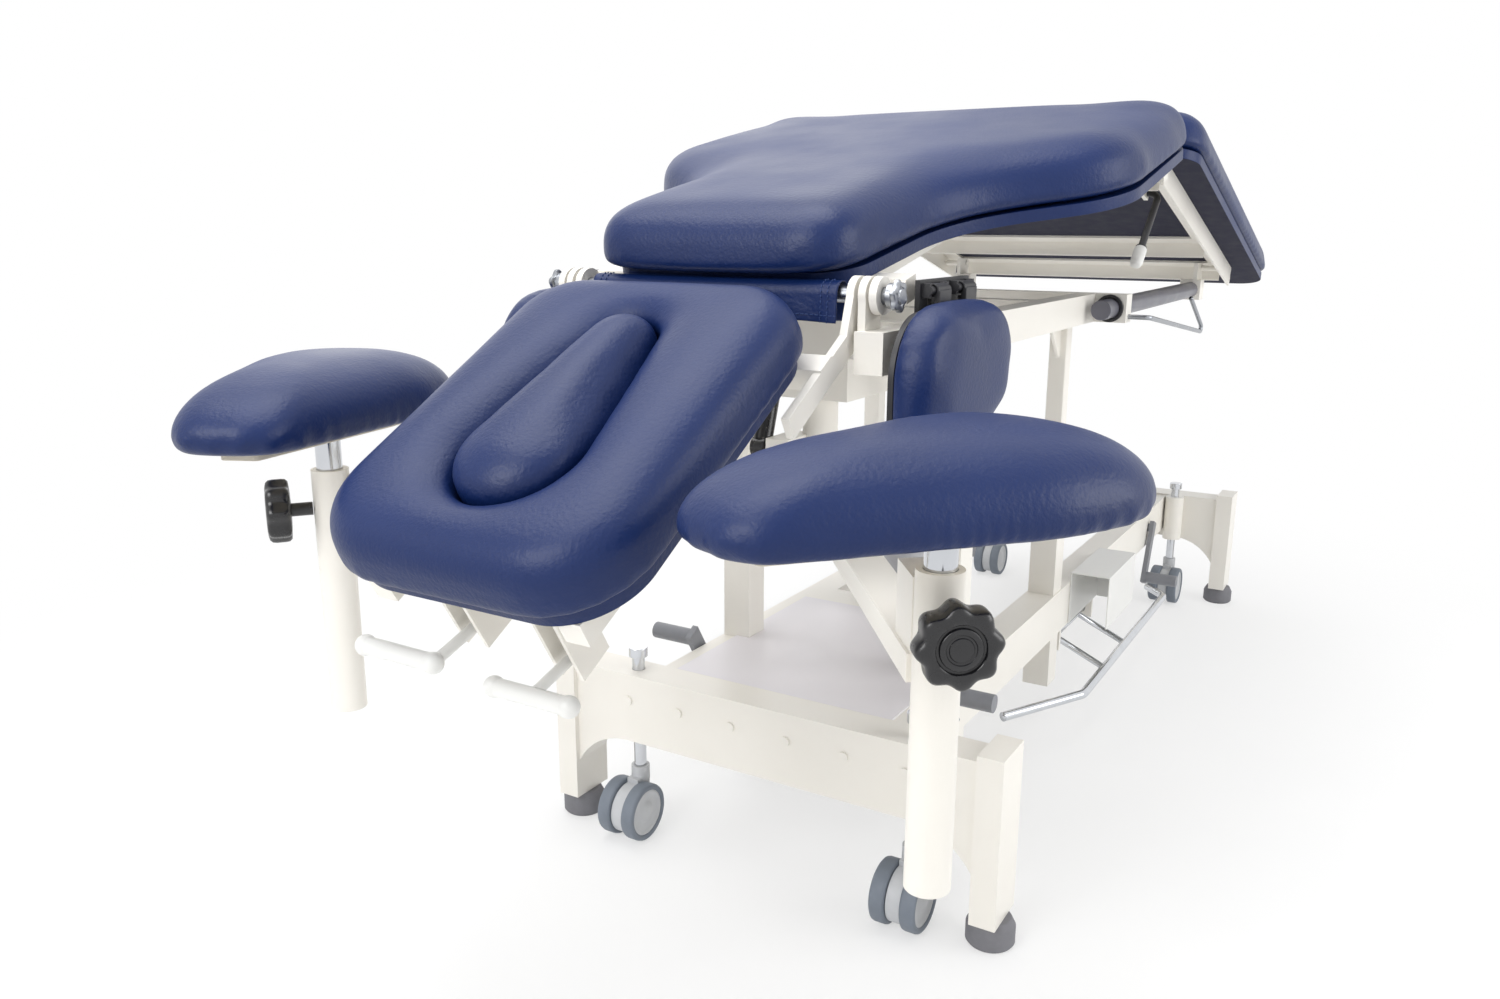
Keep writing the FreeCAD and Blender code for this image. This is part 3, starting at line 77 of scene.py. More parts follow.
def finish(name, dark, light, patch, rough, grain, depth, cells=0.0, **plain):
    """A finish. Soft noise in patches of so many mm mixes two shades and spreads the roughness between two
    values; finer noise, grain mm across, raises a bump depth mm high, with rounded cells of so many mm added
    to it where cells is set. Plain values go on the shader."""
    made = bpy.data.materials.new(name)
    made.use_nodes = True
    tree = made.node_tree
    shader = tree.nodes["Principled BSDF"]
    for socket, value in plain.items():
        shader.inputs[socket.replace("_", " ")].default_value = value
    place = add(tree, "ShaderNodeTexCoord", {}).outputs["Object"]
    drift = add(tree, "ShaderNodeTexNoise", {"Vector": place, "Scale": 1 / (patch * MM), "Detail": 3.0})
    shade = add(tree, "ShaderNodeMix", {0: drift.outputs["Fac"], 6: srgb(dark), 7: srgb(light)},
                data_type="RGBA")
    gloss = add(tree, "ShaderNodeMapRange", {"Value": drift.outputs["Fac"], "From Min": 0.3, "From Max": 0.7,
                                             "To Min": rough[0], "To Max": rough[1]})
    fine = add(tree, "ShaderNodeTexNoise", {"Vector": place, "Scale": 1 / (grain * MM), "Detail": 2.0})
    height = fine.outputs["Fac"]
    if cells:
        pebble = add(tree, "ShaderNodeTexVoronoi", {"Vector": place, "Scale": 1 / (cells * MM)},
                     feature="SMOOTH_F1")
        height = add(tree, "ShaderNodeMath", {0: pebble.outputs["Distance"], 1: height}).outputs["Value"]
    bump = add(tree, "ShaderNodeBump", {"Height": height, "Distance": depth * MM, "Strength": 0.6})
    tree.links.new(shade.outputs[2], shader.inputs["Base Color"])
    tree.links.new(gloss.outputs["Result"], shader.inputs["Roughness"])
    tree.links.new(bump.outputs["Normal"], shader.inputs["Normal"])
    return made


def dress(node, material, edge=0.0, sharp=38):
    """Give a CAD node its finish. Where edge is set, edges sharper than sharp degrees are rounded by edge mm
    to catch the light, after the flats are dissolved to whole faces."""
    thing = frame["nodes"][node]
    mesh = thing.data
    mesh.materials.clear()
    mesh.materials.append(material)
    mesh.polygons.foreach_set("use_smooth", np.ones(len(mesh.polygons), bool))
    if "custom_normal" in mesh.attributes:
        mesh.attributes.remove(mesh.attributes["custom_normal"])
    weld = thing.modifiers.new("weld", "WELD")
    weld.merge_threshold = 0.01 * MM
    if edge:
        level = thing.modifiers.new("level", "DECIMATE")
        level.decimate_type = "DISSOLVE"
        level.angle_limit = math.radians(0.3)
        bevel = thing.modifiers.new("edge", "BEVEL")
        bevel.width = edge * MM
        bevel.segments = 2
        bevel.limit_method = "ANGLE"
        bevel.angle_limit = math.radians(sharp)
    shade = thing.modifiers.new("shade", "WEIGHTED_NORMAL")
    shade.weight = 90
    return thing


ivory_coat = finish("ivory_powder_coat", "#efebe2", "#f8f5ee", patch=140, rough=(0.3, 0.42),
                    grain=2.4, depth=0.1, IOR=1.5)
for part in ("head_end_frame", "foot_end_frame", "side_rails", "guide_posts"):
    dress(part, ivory_coat, edge=2.0)

# Rubber feet: moulded grey cups pressed on the ends of the four legs.
# Moulded rubber is matt with a spark texture, drawn 2 mm coarse so that it shows.

foot_rubber = finish("moulded_rubber", "#6c6c71", "#85858a", patch=12, rough=(0.6, 0.85),
                     grain=2, depth=0.2, IOR=1.52)
dress("rubber_feet", foot_rubber, edge=1.5)

# Cover panel: a pale lilac-grey laminate sheet that lies on the rails over the lift motor.
# It is pressed smooth, with a slight haze that softens what it mirrors.

panel_laminate = finish("grey_laminate", "#e8e4e8", "#f2eff2", patch=90, rough=(0.34, 0.5),
                        grain=3, depth=0.06, IOR=1.5)
dress("base_cover_panel", panel_laminate, edge=0.6)

# Control box and switch covers: white ABS mouldings screwed under the panel and outside the rails.
# The mould is spark eroded, so the skin is satin with a fine grain.

white_abs = finish("white_abs", "#e4e4e1", "#efefec", patch=60, rough=(0.3, 0.42),
                   grain=1.8, depth=0.08, IOR=1.53)
for part in ("control_box", "switch_covers"):
    dress(part, white_abs, edge=1.5)

# Lift actuator and its rod: a motor in a grey die-cast housing that pushes a ground steel rod.
# The casting is painted; the rod is plated bright, with a faint drift in its gloss.

housing_paint = finish("painted_casting", "#a9aaae", "#bcbdc1", patch=40, rough=(0.4, 0.55),
                       grain=2, depth=0.15, IOR=1.5)
dress("lift_actuator", housing_paint, edge=1.5)
chromium = finish("chromium_plate", "#c3c6cb", "#dcdee2", patch=30, rough=(0.07, 0.16),
                  grain=6, depth=0.01, Metallic=1.0)
dress("lift_rod", chromium)

# Upper frame: the welded tube frame on the guide posts, with the armrest column, hinge tube and stop rods.
# The same ivory coat covers it; the stop rods, the pivot bolts and the tube between them are zinc plated.
# The slide bushes and the wing brackets are black nylon.

for part in ("upper_frame", "armrest_carrier"):
    dress(part, ivory_coat, edge=1.6)
zinc = finish("zinc_plate", "#8f9298", "#b3b6bb", patch=14, rough=(0.25, 0.42),
              grain=3, depth=0.05, Metallic=1.0)
dress("hinge_bar", zinc, edge=0.6)
dress("stop_rods", zinc)
bush_nylon = finish("black_nylon", "#1b1b1f", "#29292d", patch=30, rough=(0.38, 0.52),
                    grain=1.8, depth=0.1, IOR=1.53)
dress("slide_bushes", bush_nylon, edge=1.0)
dress("wing_brackets", bush_nylon, edge=0.8)

# Hinge cover: a strip of the navy vinyl folded over the hinge tube, with a sewn hem along each free edge.
# Calendered vinyl on a knit back: a satin skin with a pressed leather grain, drawn 4 mm coarse to show.


def skin(name, rows, material, body, around=True, sharp=180):
    """A surface through a grid of points: row after row, each row closed on itself where around is true. Rows
    that shrink to a point close the ends; doubles are merged and the faces are turned outwards."""
    count, across = rows.shape[:2]
    index = np.arange(count * across).reshape(count, across)
    if around:
        index = np.hstack([index, index[:, :1]])
    corners = (index[:-1, :-1], index[:-1, 1:], index[1:, 1:], index[1:, :-1])
    mesh = bpy.data.meshes.new(name)
    mesh.from_pydata(rows.reshape(-1, 3).tolist(), [], np.stack(corners, -1).reshape(-1, 4).tolist())
    welded = bmesh.new()
    welded.from_mesh(mesh)
    bmesh.ops.remove_doubles(welded, verts=welded.verts, dist=1e-6)
    bmesh.ops.dissolve_degenerate(welded, edges=welded.edges, dist=1e-7)
    bmesh.ops.recalc_face_normals(welded, faces=welded.faces)
    welded.to_mesh(mesh)
    welded.free()
    mesh.polygons.foreach_set("use_smooth", np.ones(len(mesh.polygons), bool))
    if sharp < 180:
        mesh.set_sharp_from_angle(angle=math.radians(sharp))
    mesh.materials.append(material)
    piece = bpy.data.objects.new(name, mesh)
    bpy.context.scene.collection.objects.link(piece)
    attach(piece, body)
    return piece


def joined(name, pieces):
    """Several pieces on one body made one object, under the first one's finish."""
    base = pieces[0]
    with bpy.context.temp_override(active_object=base, selected_editable_objects=pieces):
        bpy.ops.object.join()
    base.name = name
    return base


navy_vinyl = finish("navy_vinyl", "#0b214f", "#11295e", patch=150, rough=(0.35, 0.46),
                    grain=2.2, depth=0.42, cells=4.0, IOR=1.48, Specular_IOR_Level=0.38)
joints = {joint["name"]: joint for joint in frame["joints"]}
hinge_x, _, hinge_z = joints["head_tilt"]["pos_m"]

# The strip falls straight on both sides of half a turn over the tube. Towards its free edges it stands off by
# a ripple of two sine waves along the hinge.
cover_half, cover_round, cover_drop = 146 * MM, 13.2 * MM, 26 * MM
along = np.linspace(-cover_half, cover_half, 121)
bend = np.linspace(0, np.pi, 25)[1:-1]
fall = np.linspace(0, cover_drop, 13)
side_x = np.full(fall.size, cover_round)
fold_x = np.concatenate([-side_x, -cover_round * np.cos(bend), side_x])
fold_z = np.concatenate([fall - cover_drop, cover_round * np.sin(bend), -fall])
slack = np.clip(-fold_z / cover_drop, 0, 1) ** 1.5
stand_off, wave_long, wave_short = 0.8 * MM, 21 * MM, 9 * MM
ripple = (1.3 * np.sin(along / wave_long) + 0.8 * np.sin(along / wave_short + 1)) * MM
edge_share = 0.4
rows = np.empty((along.size, fold_x.size, 3))
rows[..., 0] = hinge_x + fold_x + np.sign(fold_x) * slack * (stand_off + np.abs(ripple[:, None]))
rows[..., 1] = along[:, None]
rows[..., 2] = hinge_z + fold_z + slack * edge_share * ripple[:, None]
hinge_cover = skin("hinge_cover_vinyl", rows, navy_vinyl, "upper", around=False)
wall = hinge_cover.modifiers.new("wall", "SOLIDIFY")
wall.thickness = 1.2 * MM
wall.offset = -1
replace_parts(hinge_cover, "hinge_cover")


def cord(path, radius, across, count=8):
    """A round thread along a path: rings of count points square to the path, shrunk to a point at both ends.
    Across is a direction that the path never takes."""
    ahead = np.gradient(path, axis=0)
    ahead /= np.linalg.norm(ahead, axis=1, keepdims=True)
    side = np.cross(ahead, across)
    side /= np.linalg.norm(side, axis=1, keepdims=True)
    turn = np.linspace(0, 2 * np.pi, count, endpoint=False)[None, :, None]
    up = np.cross(side, ahead)
    rings = path[:, None] + radius * (np.cos(turn) * side[:, None] + np.sin(turn) * up[:, None])
    ends = np.repeat(path[[0, -1]][:, None], count, axis=1)
    return np.concatenate([ends[:1], rings, ends[1:]])


def sewn(line, across, pitch):
    """A running stitch on a line of surface points: a thread that rises and dips by a sine in every pitch."""
    spacing, dip, radius = 0.5 * MM, 0.75 * MM, 0.55 * MM
    walk = np.concatenate([[0], np.cumsum(np.linalg.norm(np.diff(line, axis=0), axis=1))])
    step = np.linspace(0, walk[-1], int(walk[-1] / spacing))
    path = np.stack([np.interp(step, walk, line[:, axis]) for axis in range(3)], axis=1)
    rise = np.cross(np.gradient(path, axis=0), across)
    rise /= np.linalg.norm(rise, axis=1, keepdims=True)
    return cord(path + rise * (dip * np.sin(2 * np.pi * step / pitch))[:, None], radius, across)


thread = finish("navy_thread", "#1f3566", "#2c457c", patch=3, rough=(0.6, 0.75),
                grain=1, depth=0.1, IOR=1.5)
stitch = 5 * MM

# Two seams run round the strip near each end, counted in its rows of points, and one along each free edge,
# counted in the points of a row, with the direction that its thread turns about.
end_seams = (4, 7, -8, -5)
hem_seams = ((3, (0, 0, -1)), (-4, (0, 0, 1)))
seams = [skin(f"end_seam_{spot}", sewn(rows[spot], (0, -1, 0), stitch), thread, "upper")
         for spot in end_seams]
seams += [skin(f"hem_{spot}", sewn(rows[:, spot], turn, stitch), thread, "upper")
          for spot, turn in hem_seams]
joined("hinge_cover_seams", seams)

# Armrests: each a chromium-plated rod in its post, a painted steel plate, a foam pad and a star knob.
# The knob is moulded black phenolic with eight lobes; its cap has two turned rings.

beige_paint = finish("beige_paint", "#cfc6b4", "#ddd5c5", patch=60, rough=(0.4, 0.55),
                     grain=2, depth=0.1, IOR=1.5)
for name in ("left", "right"):
    dress(f"armrest_rod_{name}", chromium, edge=1.2)
    dress(f"armrest_plate_{name}", beige_paint, edge=0.8)
black_phenolic = finish("black_phenolic", "#111114", "#1d1d20", patch=25, rough=(0.22, 0.36),
                        grain=1.6, depth=0.05, IOR=1.6)


def turned(profile, centre, axis, lobes=0, wave=None, count=96):
    """Rings of a turned shape: each profile point is a radius and a height along the axis, in mm, swept round
    it from the centre, in metres. With lobes, the radius swells by wave times the cosine of lobes times the
    angle."""
    axis = Vector(axis).normalized()
    first = axis.orthogonal().normalized()
    second = axis.cross(first)
    turn = np.linspace(0, 2 * np.pi, count, endpoint=False)
    spoke = np.outer(np.cos(turn), first) + np.outer(np.sin(turn), second)
    radius, height = np.array(profile).T * MM
    swell = np.zeros(radius.size) if wave is None else np.array(wave)
    reach = radius[:, None] * (1 + swell[:, None] * np.cos(lobes * turn))
    return np.array(centre) + height[:, None, None] * np.array(axis) + reach[..., None] * spoke


knob_profile = [(0, 19.6), (7, 19.6), (7, 40.5), (20, 41), (28.4, 42), (30.6, 44.5), (31, 48), (31, 57),
                (30.4, 61), (28.2, 63.6), (24, 64.8), (19.5, 65), (18.8, 64.4), (18.4, 62.6), (16.4, 62.6),
                (16, 64.4), (15.2, 65), (11.6, 65), (11, 64.2), (9.4, 64.2), (8.8, 65), (4, 65.2), (0, 65.2)]
knob_wave = [0, 0, 0, 0.04] + [0.07] * 6 + [0.05, 0.02] + [0] * 11
for name in ("left", "right"):
    clamp = joints[f"knob_turn_{name}"]
    rings = turned(knob_profile, clamp["pos_m"], clamp["axis"], lobes=8, wave=knob_wave, count=192)
    knob = skin(f"star_knob_{name}", rings, black_phenolic, f"arm_knob_{name}", sharp=50)
    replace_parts(knob, f"armrest_knob_{name}")

# Star nuts: a pressed zinc-plated nut with six lobes on each end of the hinge bolt.
# A turned collar stands in its middle, round the bolt's end.

nut_profile = [(0, -2), (13, -2), (14.5, -0.8), (14.5, 2.6), (13.6, 3.8), (9, 4.2), (8.4, 3.6), (7.4, 3.6),
               (6.8, 5.6), (0, 6)]
nut_wave = [0, 0.08, 0.1, 0.1, 0.1, 0.03, 0, 0, 0, 0]
bolt_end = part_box("hinge_bar")[1][1]
for side, name in ((1, "left"), (-1, "right")):
    bolt_face = (hinge_x, side * bolt_end, hinge_z)
    rings = turned(nut_profile, bolt_face, (0, side, 0), lobes=6, wave=nut_wave)
    skin(f"star_nut_{name}", rings, zinc, "upper", sharp=40)

# Armrest pads: egg-shaped foam on the plate, pulled over in navy vinyl and stapled underneath.
# The foam presses the vinyl out tight; the pull of the staples leaves a row of small puckers at the foot.


def stuffed(name, node, body, flat, voxel, start, cap, pleats, pull, soft, dome=0.0, hem=0.0):
    """A pad pressed out from its CAD shape. Laid flat, it is drawn in by start mm, remeshed at voxel mm and
    swollen by cloth pressure, no point by more than cap mm and none on the board. The tight cover is drawn
    smooth: soft times, each point goes half way to the mean of its neighbours. The top is domed by dome mm,
    less the square of the way out to its sides. Last, the foot is pushed out along its normals, by hem mm and
    by a wave of so many pleats round the outline, pull mm deep; both fade out with the height."""
    foot_band, board_band, end_run, hem_rise = 6 * MM, 3 * MM, 45 * MM, 26 * MM
    frames, bays = 20, 40
    mesh = frame["nodes"][node].data.copy()
    mesh.materials.clear()
    mesh.transform(flat)
    piece = bpy.data.objects.new(name, mesh)
    bpy.context.scene.collection.objects.link(piece)
    welded = bmesh.new()
    welded.from_mesh(mesh)
    bmesh.ops.remove_doubles(welded, verts=welded.verts, dist=1e-5)
    bmesh.ops.recalc_face_normals(welded, faces=welded.faces)
    welded.normal_update()
    welded.to_mesh(mesh)
    welded.free()
    spot, facing = np.empty(len(mesh.vertices) * 3), np.empty(len(mesh.vertices) * 3)
    mesh.vertices.foreach_get("co", spot)
    mesh.vertex_normals.foreach_get("vector", facing)
    spot, facing = spot.reshape(-1, 3), facing.reshape(-1, 3)
    foot = spot[:, 2].min()
    rise = np.clip((spot[:, 2] - foot) / foot_band, 0, 1)
    mesh.vertices.foreach_set("co", (spot - facing * rise[:, None] * start * MM).ravel())
    remesh = piece.modifiers.new("remesh", "REMESH")
    remesh.mode = "VOXEL"
    remesh.voxel_size = voxel * MM
    remesh.use_smooth_shade = True
    made = bpy.data.meshes.new_from_object(piece.evaluated_get(bpy.context.evaluated_depsgraph_get()))
    piece.modifiers.clear()
    piece.data = made
    made.name = name
    before = np.empty(len(made.vertices) * 3)
    made.vertices.foreach_get("co", before)
    before = before.reshape(-1, 3)
    after = before
    held = piece.vertex_groups.new(name="board")
    held.add(np.flatnonzero(before[:, 2] < foot + board_band).tolist(), 1.0, "REPLACE")
    cloth = piece.modifiers.new("press", "CLOTH")
    cloth.settings.use_pressure = True
    cloth.settings.uniform_pressure_force = 4
    cloth.settings.effector_weights.gravity = 0
    cloth.settings.vertex_group_mass = "board"
    cloth.settings.tension_stiffness = 12
    cloth.settings.bending_stiffness = 1.5
    cloth.point_cache.frame_end = frames
    for tick in range(1, frames + 1):
        bpy.context.scene.frame_set(tick)
    swollen = piece.evaluated_get(bpy.context.evaluated_depsgraph_get()).data
    after = np.empty(before.size)
    swollen.vertices.foreach_get("co", after)
    step = after.reshape(-1, 3) - before
    length = np.linalg.norm(step, axis=1, keepdims=True)
    limit = cap * MM
    tiny = 1e-9
    share = limit * np.tanh(length / limit) / np.maximum(length, tiny)
    after = before + step * np.where(length > tiny, share, 0)
    piece.modifiers.clear()
    piece.vertex_groups.clear()
    bpy.context.scene.frame_set(1)
    edges = np.empty(len(made.edges) * 2, np.int32)
    made.edges.foreach_get("vertices", edges)
    edges = edges.reshape(-1, 2)
    both_ways = np.concatenate([edges, edges[:, ::-1]])
    links = np.bincount(both_ways[:, 0], minlength=len(after))[:, None]
    for _ in range(soft):
        around = [np.bincount(both_ways[:, 0], after[both_ways[:, 1], axis], len(after))
                  for axis in range(3)]
        after = (after + np.stack(around, axis=1) / links) / 2
    if dome:
        bins = np.linspace(after[:, 0].min(), after[:, 0].max(), bays + 1)
        bay = np.clip(np.digitize(after[:, 0], bins) - 1, 0, bays - 1)
        reach = np.zeros(bays)
        np.maximum.at(reach, bay, np.abs(after[:, 1]))
        half = np.interp(after[:, 0], (bins[1:] + bins[:-1]) / 2, reach)
        end = np.clip(np.minimum(after[:, 0] - bins[0], bins[-1] - after[:, 0]) / end_run, 0, 1)
        lift = dome * MM * (1 - np.clip(np.abs(after[:, 1]) / half, 0, 1) ** 2) * np.sin(end * np.pi / 2)
        after[:, 2] += lift * np.clip((after[:, 2] - foot) / (after[:, 2].max() - foot) * 2 - 1, 0, 1)
    made.vertices.foreach_set("co", after.ravel())
    made.update()
    facing = np.empty(after.size)
    made.vertex_normals.foreach_get("vector", facing)
    out = after[:, :2] - (after[:, :2].max(0) + after[:, :2].min(0)) / 2
    turn = np.arctan2(out[:, 1], out[:, 0])
    low = np.clip(1 - (after[:, 2] - foot) / hem_rise, 0, 1) ** 1.5
    wave = np.sin(pleats * turn + 1.7 * np.sin(3 * turn)) * (0.6 + 0.4 * np.sin(5 * turn + 1))
    after[:, :2] += facing.reshape(-1, 3)[:, :2] * ((pull * wave + hem) * MM * low)[:, None]
    made.vertices.foreach_set("co", after.ravel())
    made.transform(flat.inverted())
    made.materials.append(navy_vinyl)
    made.polygons.foreach_set("use_smooth", np.ones(len(made.polygons), bool))
    fine = piece.modifiers.new("fine", "SUBSURF")
    fine.levels = fine.render_levels = 1
    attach(piece, body)
    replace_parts(piece, node)


for name in ("left", "right"):
    stuffed(f"armrest_cushion_{name}", f"armrest_pad_{name}", f"armrest_{name}", Matrix.Identity(4),
            voxel=5, start=2.5, cap=6, pleats=46, pull=1.7, soft=10)

# Main section: a foam pad on a plywood board, on a welded frame that turns on the hinge tube.
# The board's underside is lined with a dark navy non-woven cloth, drawn with a coarse felt texture.

dress("main_frame", ivory_coat, edge=1.2)
lining_cloth = finish("navy_lining_cloth", "#17182b", "#24253c", patch=20, rough=(0.75, 0.9),
                      grain=2.2, depth=0.3, IOR=1.45)


def wrap(node, slope):
    """Finish a board: lining on its underside, and on its edges the vinyl that is pulled round them. Slope is
    the turn of the board's plane about the Y axis, in radians."""
    board = dress(node, navy_vinyl, edge=1.0)
    board.data.materials.append(lining_cloth)
    facing = np.empty(len(board.data.polygons) * 3)
    board.data.polygons.foreach_get("normal", facing)
    under = np.array([-math.sin(slope), 0, -math.cos(slope)])
    lined = facing.reshape(-1, 3) @ under > 0.7
    board.data.polygons.foreach_set("material_index", lined.astype(np.int32))
    board.modifiers["level"].delimit = {"MATERIAL"}


main_slope = math.radians(-12.6)
wrap("main_board", main_slope)
stuffed("main_cushion", "main_pad", "main_section", Matrix.Rotation(-main_slope, 4, "Y"),
        voxel=7, start=3, cap=6, pleats=90, pull=1.0, soft=24, hem=7)

# Foot section: the same make of pad and board on a frame of steel angle, folded down from the ridge.
# The break lever beside it is a nylon-coated black rod with a tip dipped in white vinyl.

dress("foot_frame", ivory_coat, edge=1.0)
foot_slope = math.radians(14.8)
wrap("foot_board", foot_slope)
stuffed("foot_cushion", "foot_pad", "foot_section", Matrix.Rotation(-foot_slope, 4, "Y"),
        voxel=7, start=3, cap=6, pleats=96, pull=1.0, soft=24, hem=7)
dress("break_lever", bush_nylon, edge=0.6)
white_vinyl = finish("white_dipped_vinyl", "#e6e6e3", "#f1f1ee", patch=20, rough=(0.3, 0.4),
                     grain=2, depth=0.05, IOR=1.5)
tip_profile = [(0, -1.5), (7, -1.5), (8.6, 0), (8.9, 3), (8.6, 26), (7.8, 30), (5.4, 32.4), (2.4, 33.3),
               (0, 33.5)]
lever_fall, lever_run, lever_side = math.radians(41.51), 118.94 * MM, 56 * MM
lever_out = np.array([-math.cos(lever_fall), 0, -math.sin(lever_fall)])
lever_end = np.array(joints["break_release"]["pos_m"]) + lever_run * lever_out - (0, lever_side, 0)
tip_rings = turned(tip_profile, lever_end, lever_out, count=40)
skin("break_lever_tip", tip_rings, white_vinyl, "break_lever")

# Carriage and gas spring: two lacquered tubes that slide in nylon bushes as the sections fold.
# The spring is a glossy black cylinder with a plated rod.

grey_lacquer = finish("grey_lacquered_steel", "#5a5a63", "#6f6f79", patch=50, rough=(0.28, 0.4),
                      grain=2.4, depth=0.06, IOR=1.5)
dress("slide_tubes", grey_lacquer, edge=0.8)
dress("carriage_brackets", ivory_coat, edge=1.0)
dress("gas_spring_body", black_phenolic, edge=1.0)
dress("gas_spring_rod", chromium)

# Head section: a pad with a breathing hole, its loose plug, a board, a hinged frame and two release levers.
# The hole's rim is pulled down into a dish; the plug is its own small cushion with a crowned top.

dress("head_frame", ivory_coat, edge=1.2)
head_slope = math.radians(-30)
wrap("head_board", head_slope)
for part in ("head_lever_tee", "head_lever_ell"):
    dress(part, white_abs, edge=0.8)
head_flat = Matrix.Rotation(-head_slope, 4, "Y")
stuffed("head_cushion", "head_pad", "head_section", head_flat,
        voxel=5, start=2.5, cap=6, pleats=60, pull=0.8, soft=16, hem=6)
stuffed("head_plug_cushion", "head_plug", "plug", head_flat,
        voxel=3.5, start=1.5, cap=5, pleats=30, pull=0.3, soft=10, dome=9)

# Wings: two small rounded pads on black nylon boards, hung from the slotted brackets beside the head hinge.
# Foam under the same vinyl, pulled tight over the board's edge.

for side, name in ((1, "left"), (-1, "right")):
    dress(f"wing_board_{name}", bush_nylon, edge=0.8)
    wing_flat = Matrix.Rotation(math.radians(90 * side), 4, "X")
    stuffed(f"wing_cushion_{name}", f"wing_pad_{name}", f"wing_{name}", wing_flat,
            voxel=4, start=2, cap=5, pleats=40, pull=0.6, soft=16)

# Casters: twin wheels on a hooded fork under a plated stem; pedals lower them by pairs.
# The tyre is grey-blue polyurethane, the hub and hood are light grey polypropylene.

tyre_rubber = finish("polyurethane_tyre", "#6d7580", "#7f8792", patch=14, rough=(0.45, 0.6),
                     grain=1.8, depth=0.08, IOR=1.5)
hub_plastic = finish("grey_polypropylene", "#bfc1c4", "#cfd1d4", patch=20, rough=(0.35, 0.5),
                     grain=1.8, depth=0.06, IOR=1.49)
pedal_plastic = finish("grey_nylon", "#7b7d83", "#8d8f95", patch=20, rough=(0.4, 0.55),
                       grain=1.8, depth=0.1, IOR=1.53)
tyre_profile = [(29.5, 9.4), (34.6, 9.4), (36.4, 10.6), (37, 13), (37, 24), (36.2, 26.6), (34, 28),
                (31, 27.6), (29.5, 26.4), (29.5, 9.4)]
hub_profile = [(0, 9.6), (29.6, 9.6), (29.6, 25.6), (28.6, 26.2), (26, 25.6), (24.4, 24.2), (15.5, 23.2),
               (13.6, 24.4), (9, 26.4), (4, 27.2), (0, 27.3)]
for end in ("front", "rear"):
    dress(f"caster_stems_{end}", chromium, edge=0.8)
    dress(f"pedal_{end}", pedal_plastic, edge=1.2)
    for name in ("left", "right"):
        corner = f"{end}_{name}"
        dress(f"caster_fork_{corner}", hub_plastic, edge=1.0)
        axle = joints[f"wheel_spin_{corner}"]["pos_m"]
        body = f"wheels_{corner}"
        tyres = [skin(f"tyre_{corner}_{face}", turned(tyre_profile, axle, (0, face, 0)), tyre_rubber, body,
                      sharp=45) for face in (1, -1)]
        hubs = [skin(f"hub_{corner}_{face}", turned(hub_profile, axle, (0, face, 0)), hub_plastic, body,
                     sharp=45) for face in (1, -1)]
        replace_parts(joined(f"caster_tyres_{corner}", tyres), f"caster_wheels_{corner}")
        joined(f"caster_hubs_{corner}", hubs)

# Foot bars: a bent rod along each side, with cross pieces, that works the lift from either side.
# Bright chromium plate over polished steel; the rods stay as smooth as their CAD shape.

for name in ("left", "right"):
    dress(f"foot_bar_{name}", chromium)

# Floor, light and camera: a white paper sweep that shines a little to the camera, so that it fades to white
# away from the couch and keeps a pale shadow under it. A large soft light hangs above, with weaker ones in
# front, beside and behind.

floor_mesh = bpy.data.meshes.new("floor")
floor_half = 30
floor_corners = [(x * floor_half, y * floor_half, 0) for x, y in ((-1, -1), (1, -1), (1, 1), (-1, 1))]
floor_mesh.from_pydata(floor_corners, [], [(0, 1, 2, 3)])
floor = bpy.data.objects.new("floor", floor_mesh)
bpy.context.scene.collection.objects.link(floor)
white_paper = finish("white_paper", "#f4f4f4", "#fafafa", patch=300, rough=(0.7, 0.9),
                     grain=4, depth=0.01)
floor_mesh.materials.append(white_paper)
paper = white_paper.node_tree
path = add(paper, "ShaderNodeLightPath", {})
seen = add(paper, "ShaderNodeMath", {0: path.outputs["Is Camera Ray"], 1: path.outputs["Is Glossy Ray"]},
           operation="MAXIMUM")
place = add(paper, "ShaderNodeTexCoord", {})
away = add(paper, "ShaderNodeVectorMath", {0: place.outputs["Object"]}, operation="LENGTH")
fade_start, fade_end, glow_under = 0.7, 1.9, 0.55
fade = add(paper, "ShaderNodeMapRange",
           {"Value": away.outputs["Value"], "From Min": fade_start, "From Max": fade_end,
            "To Min": glow_under}, interpolation_type="SMOOTHSTEP")
share = add(paper, "ShaderNodeMath", {0: seen.outputs["Value"], 1: fade.outputs["Result"]},
            operation="MULTIPLY")
glow = add(paper, "ShaderNodeEmission", {"Color": (1, 1, 1, 1), "Strength": 1.0})
matt = paper.nodes["Principled BSDF"].outputs["BSDF"]
blend = add(paper, "ShaderNodeMixShader", {0: share.outputs["Value"], 1: matt, 2: glow.outputs["Emission"]})
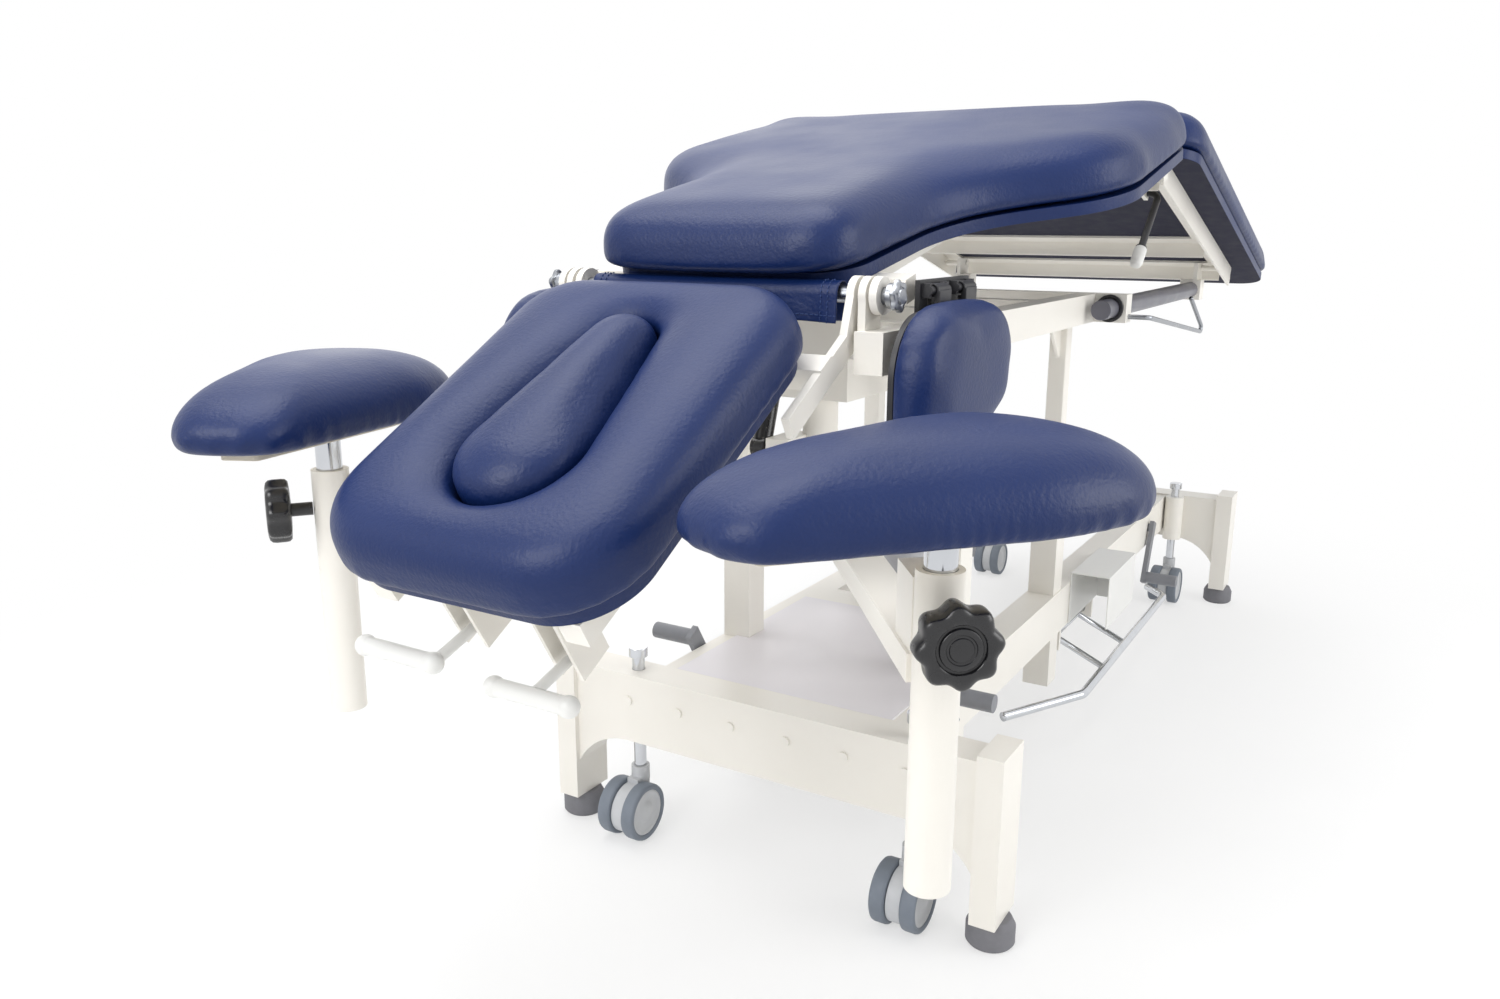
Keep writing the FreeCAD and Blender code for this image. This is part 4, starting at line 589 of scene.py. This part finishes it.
paper.links.new(blend.outputs["Shader"], paper.nodes["Material Output"].inputs["Surface"])

world = bpy.data.worlds.new("studio")
bpy.context.scene.world = world
world.use_nodes = True
sky = world.node_tree.nodes["Background"]
sky.inputs["Color"].default_value = (1, 1, 1, 1)
path = add(world.node_tree, "ShaderNodeLightPath", {})
seen = add(world.node_tree, "ShaderNodeMath",
           {0: path.outputs["Is Camera Ray"], 1: path.outputs["Is Glossy Ray"]}, operation="MAXIMUM")
fill_light = 0.54
level = add(world.node_tree, "ShaderNodeMapRange", {"Value": seen.outputs["Value"], "To Min": fill_light})
world.node_tree.links.new(level.outputs["Result"], sky.inputs["Strength"])

lamps = (("top", (-0.5, 0.4, 3.0), 2.4, 56), ("front", (-3.0, 0.4, 2.0), 1.5, 40),
         ("side", (0.4, -3.0, 1.5), 1.8, 36), ("back", (2.4, 2.6, 2.0), 3.2, 19))
lit_point = Vector((0, 0, 0.5))
for name, spot, size, power in lamps:
    lamp = bpy.data.lights.new(name, "AREA")
    lamp.size = size
    lamp.energy = power
    stand = bpy.data.objects.new(name, lamp)
    stand.location = spot
    aim = lit_point - Vector(spot)
    stand.rotation_euler = aim.to_track_quat("-Z", "Y").to_euler()
    stand.visible_camera = False
    bpy.context.scene.collection.objects.link(stand)

heading, dip, tip = math.radians(31.14), math.radians(13.51), math.radians(0.175)
ahead = Vector((math.cos(heading) * math.cos(dip), math.sin(heading) * math.cos(dip), -math.sin(dip)))
right = Vector((math.sin(heading), -math.cos(heading), 0))
up = right.cross(ahead)
camera_place = Matrix.Translation((-1.5600, -0.6453, 0.7781))
camera_turn = Matrix((right, up, -ahead)).transposed().to_4x4()
focal_pixels, photo_width = 1152.79, 1500
lens = bpy.data.cameras.new("camera")
lens.sensor_width = 36
lens.lens = lens.sensor_width * focal_pixels / photo_width
camera = bpy.data.objects.new("camera", lens)
camera.matrix_world = camera_place @ camera_turn @ Matrix.Rotation(tip, 4, "Z")
bpy.context.scene.collection.objects.link(camera)
bpy.context.scene.camera = camera
bpy.context.scene.view_settings.view_transform = "Standard"
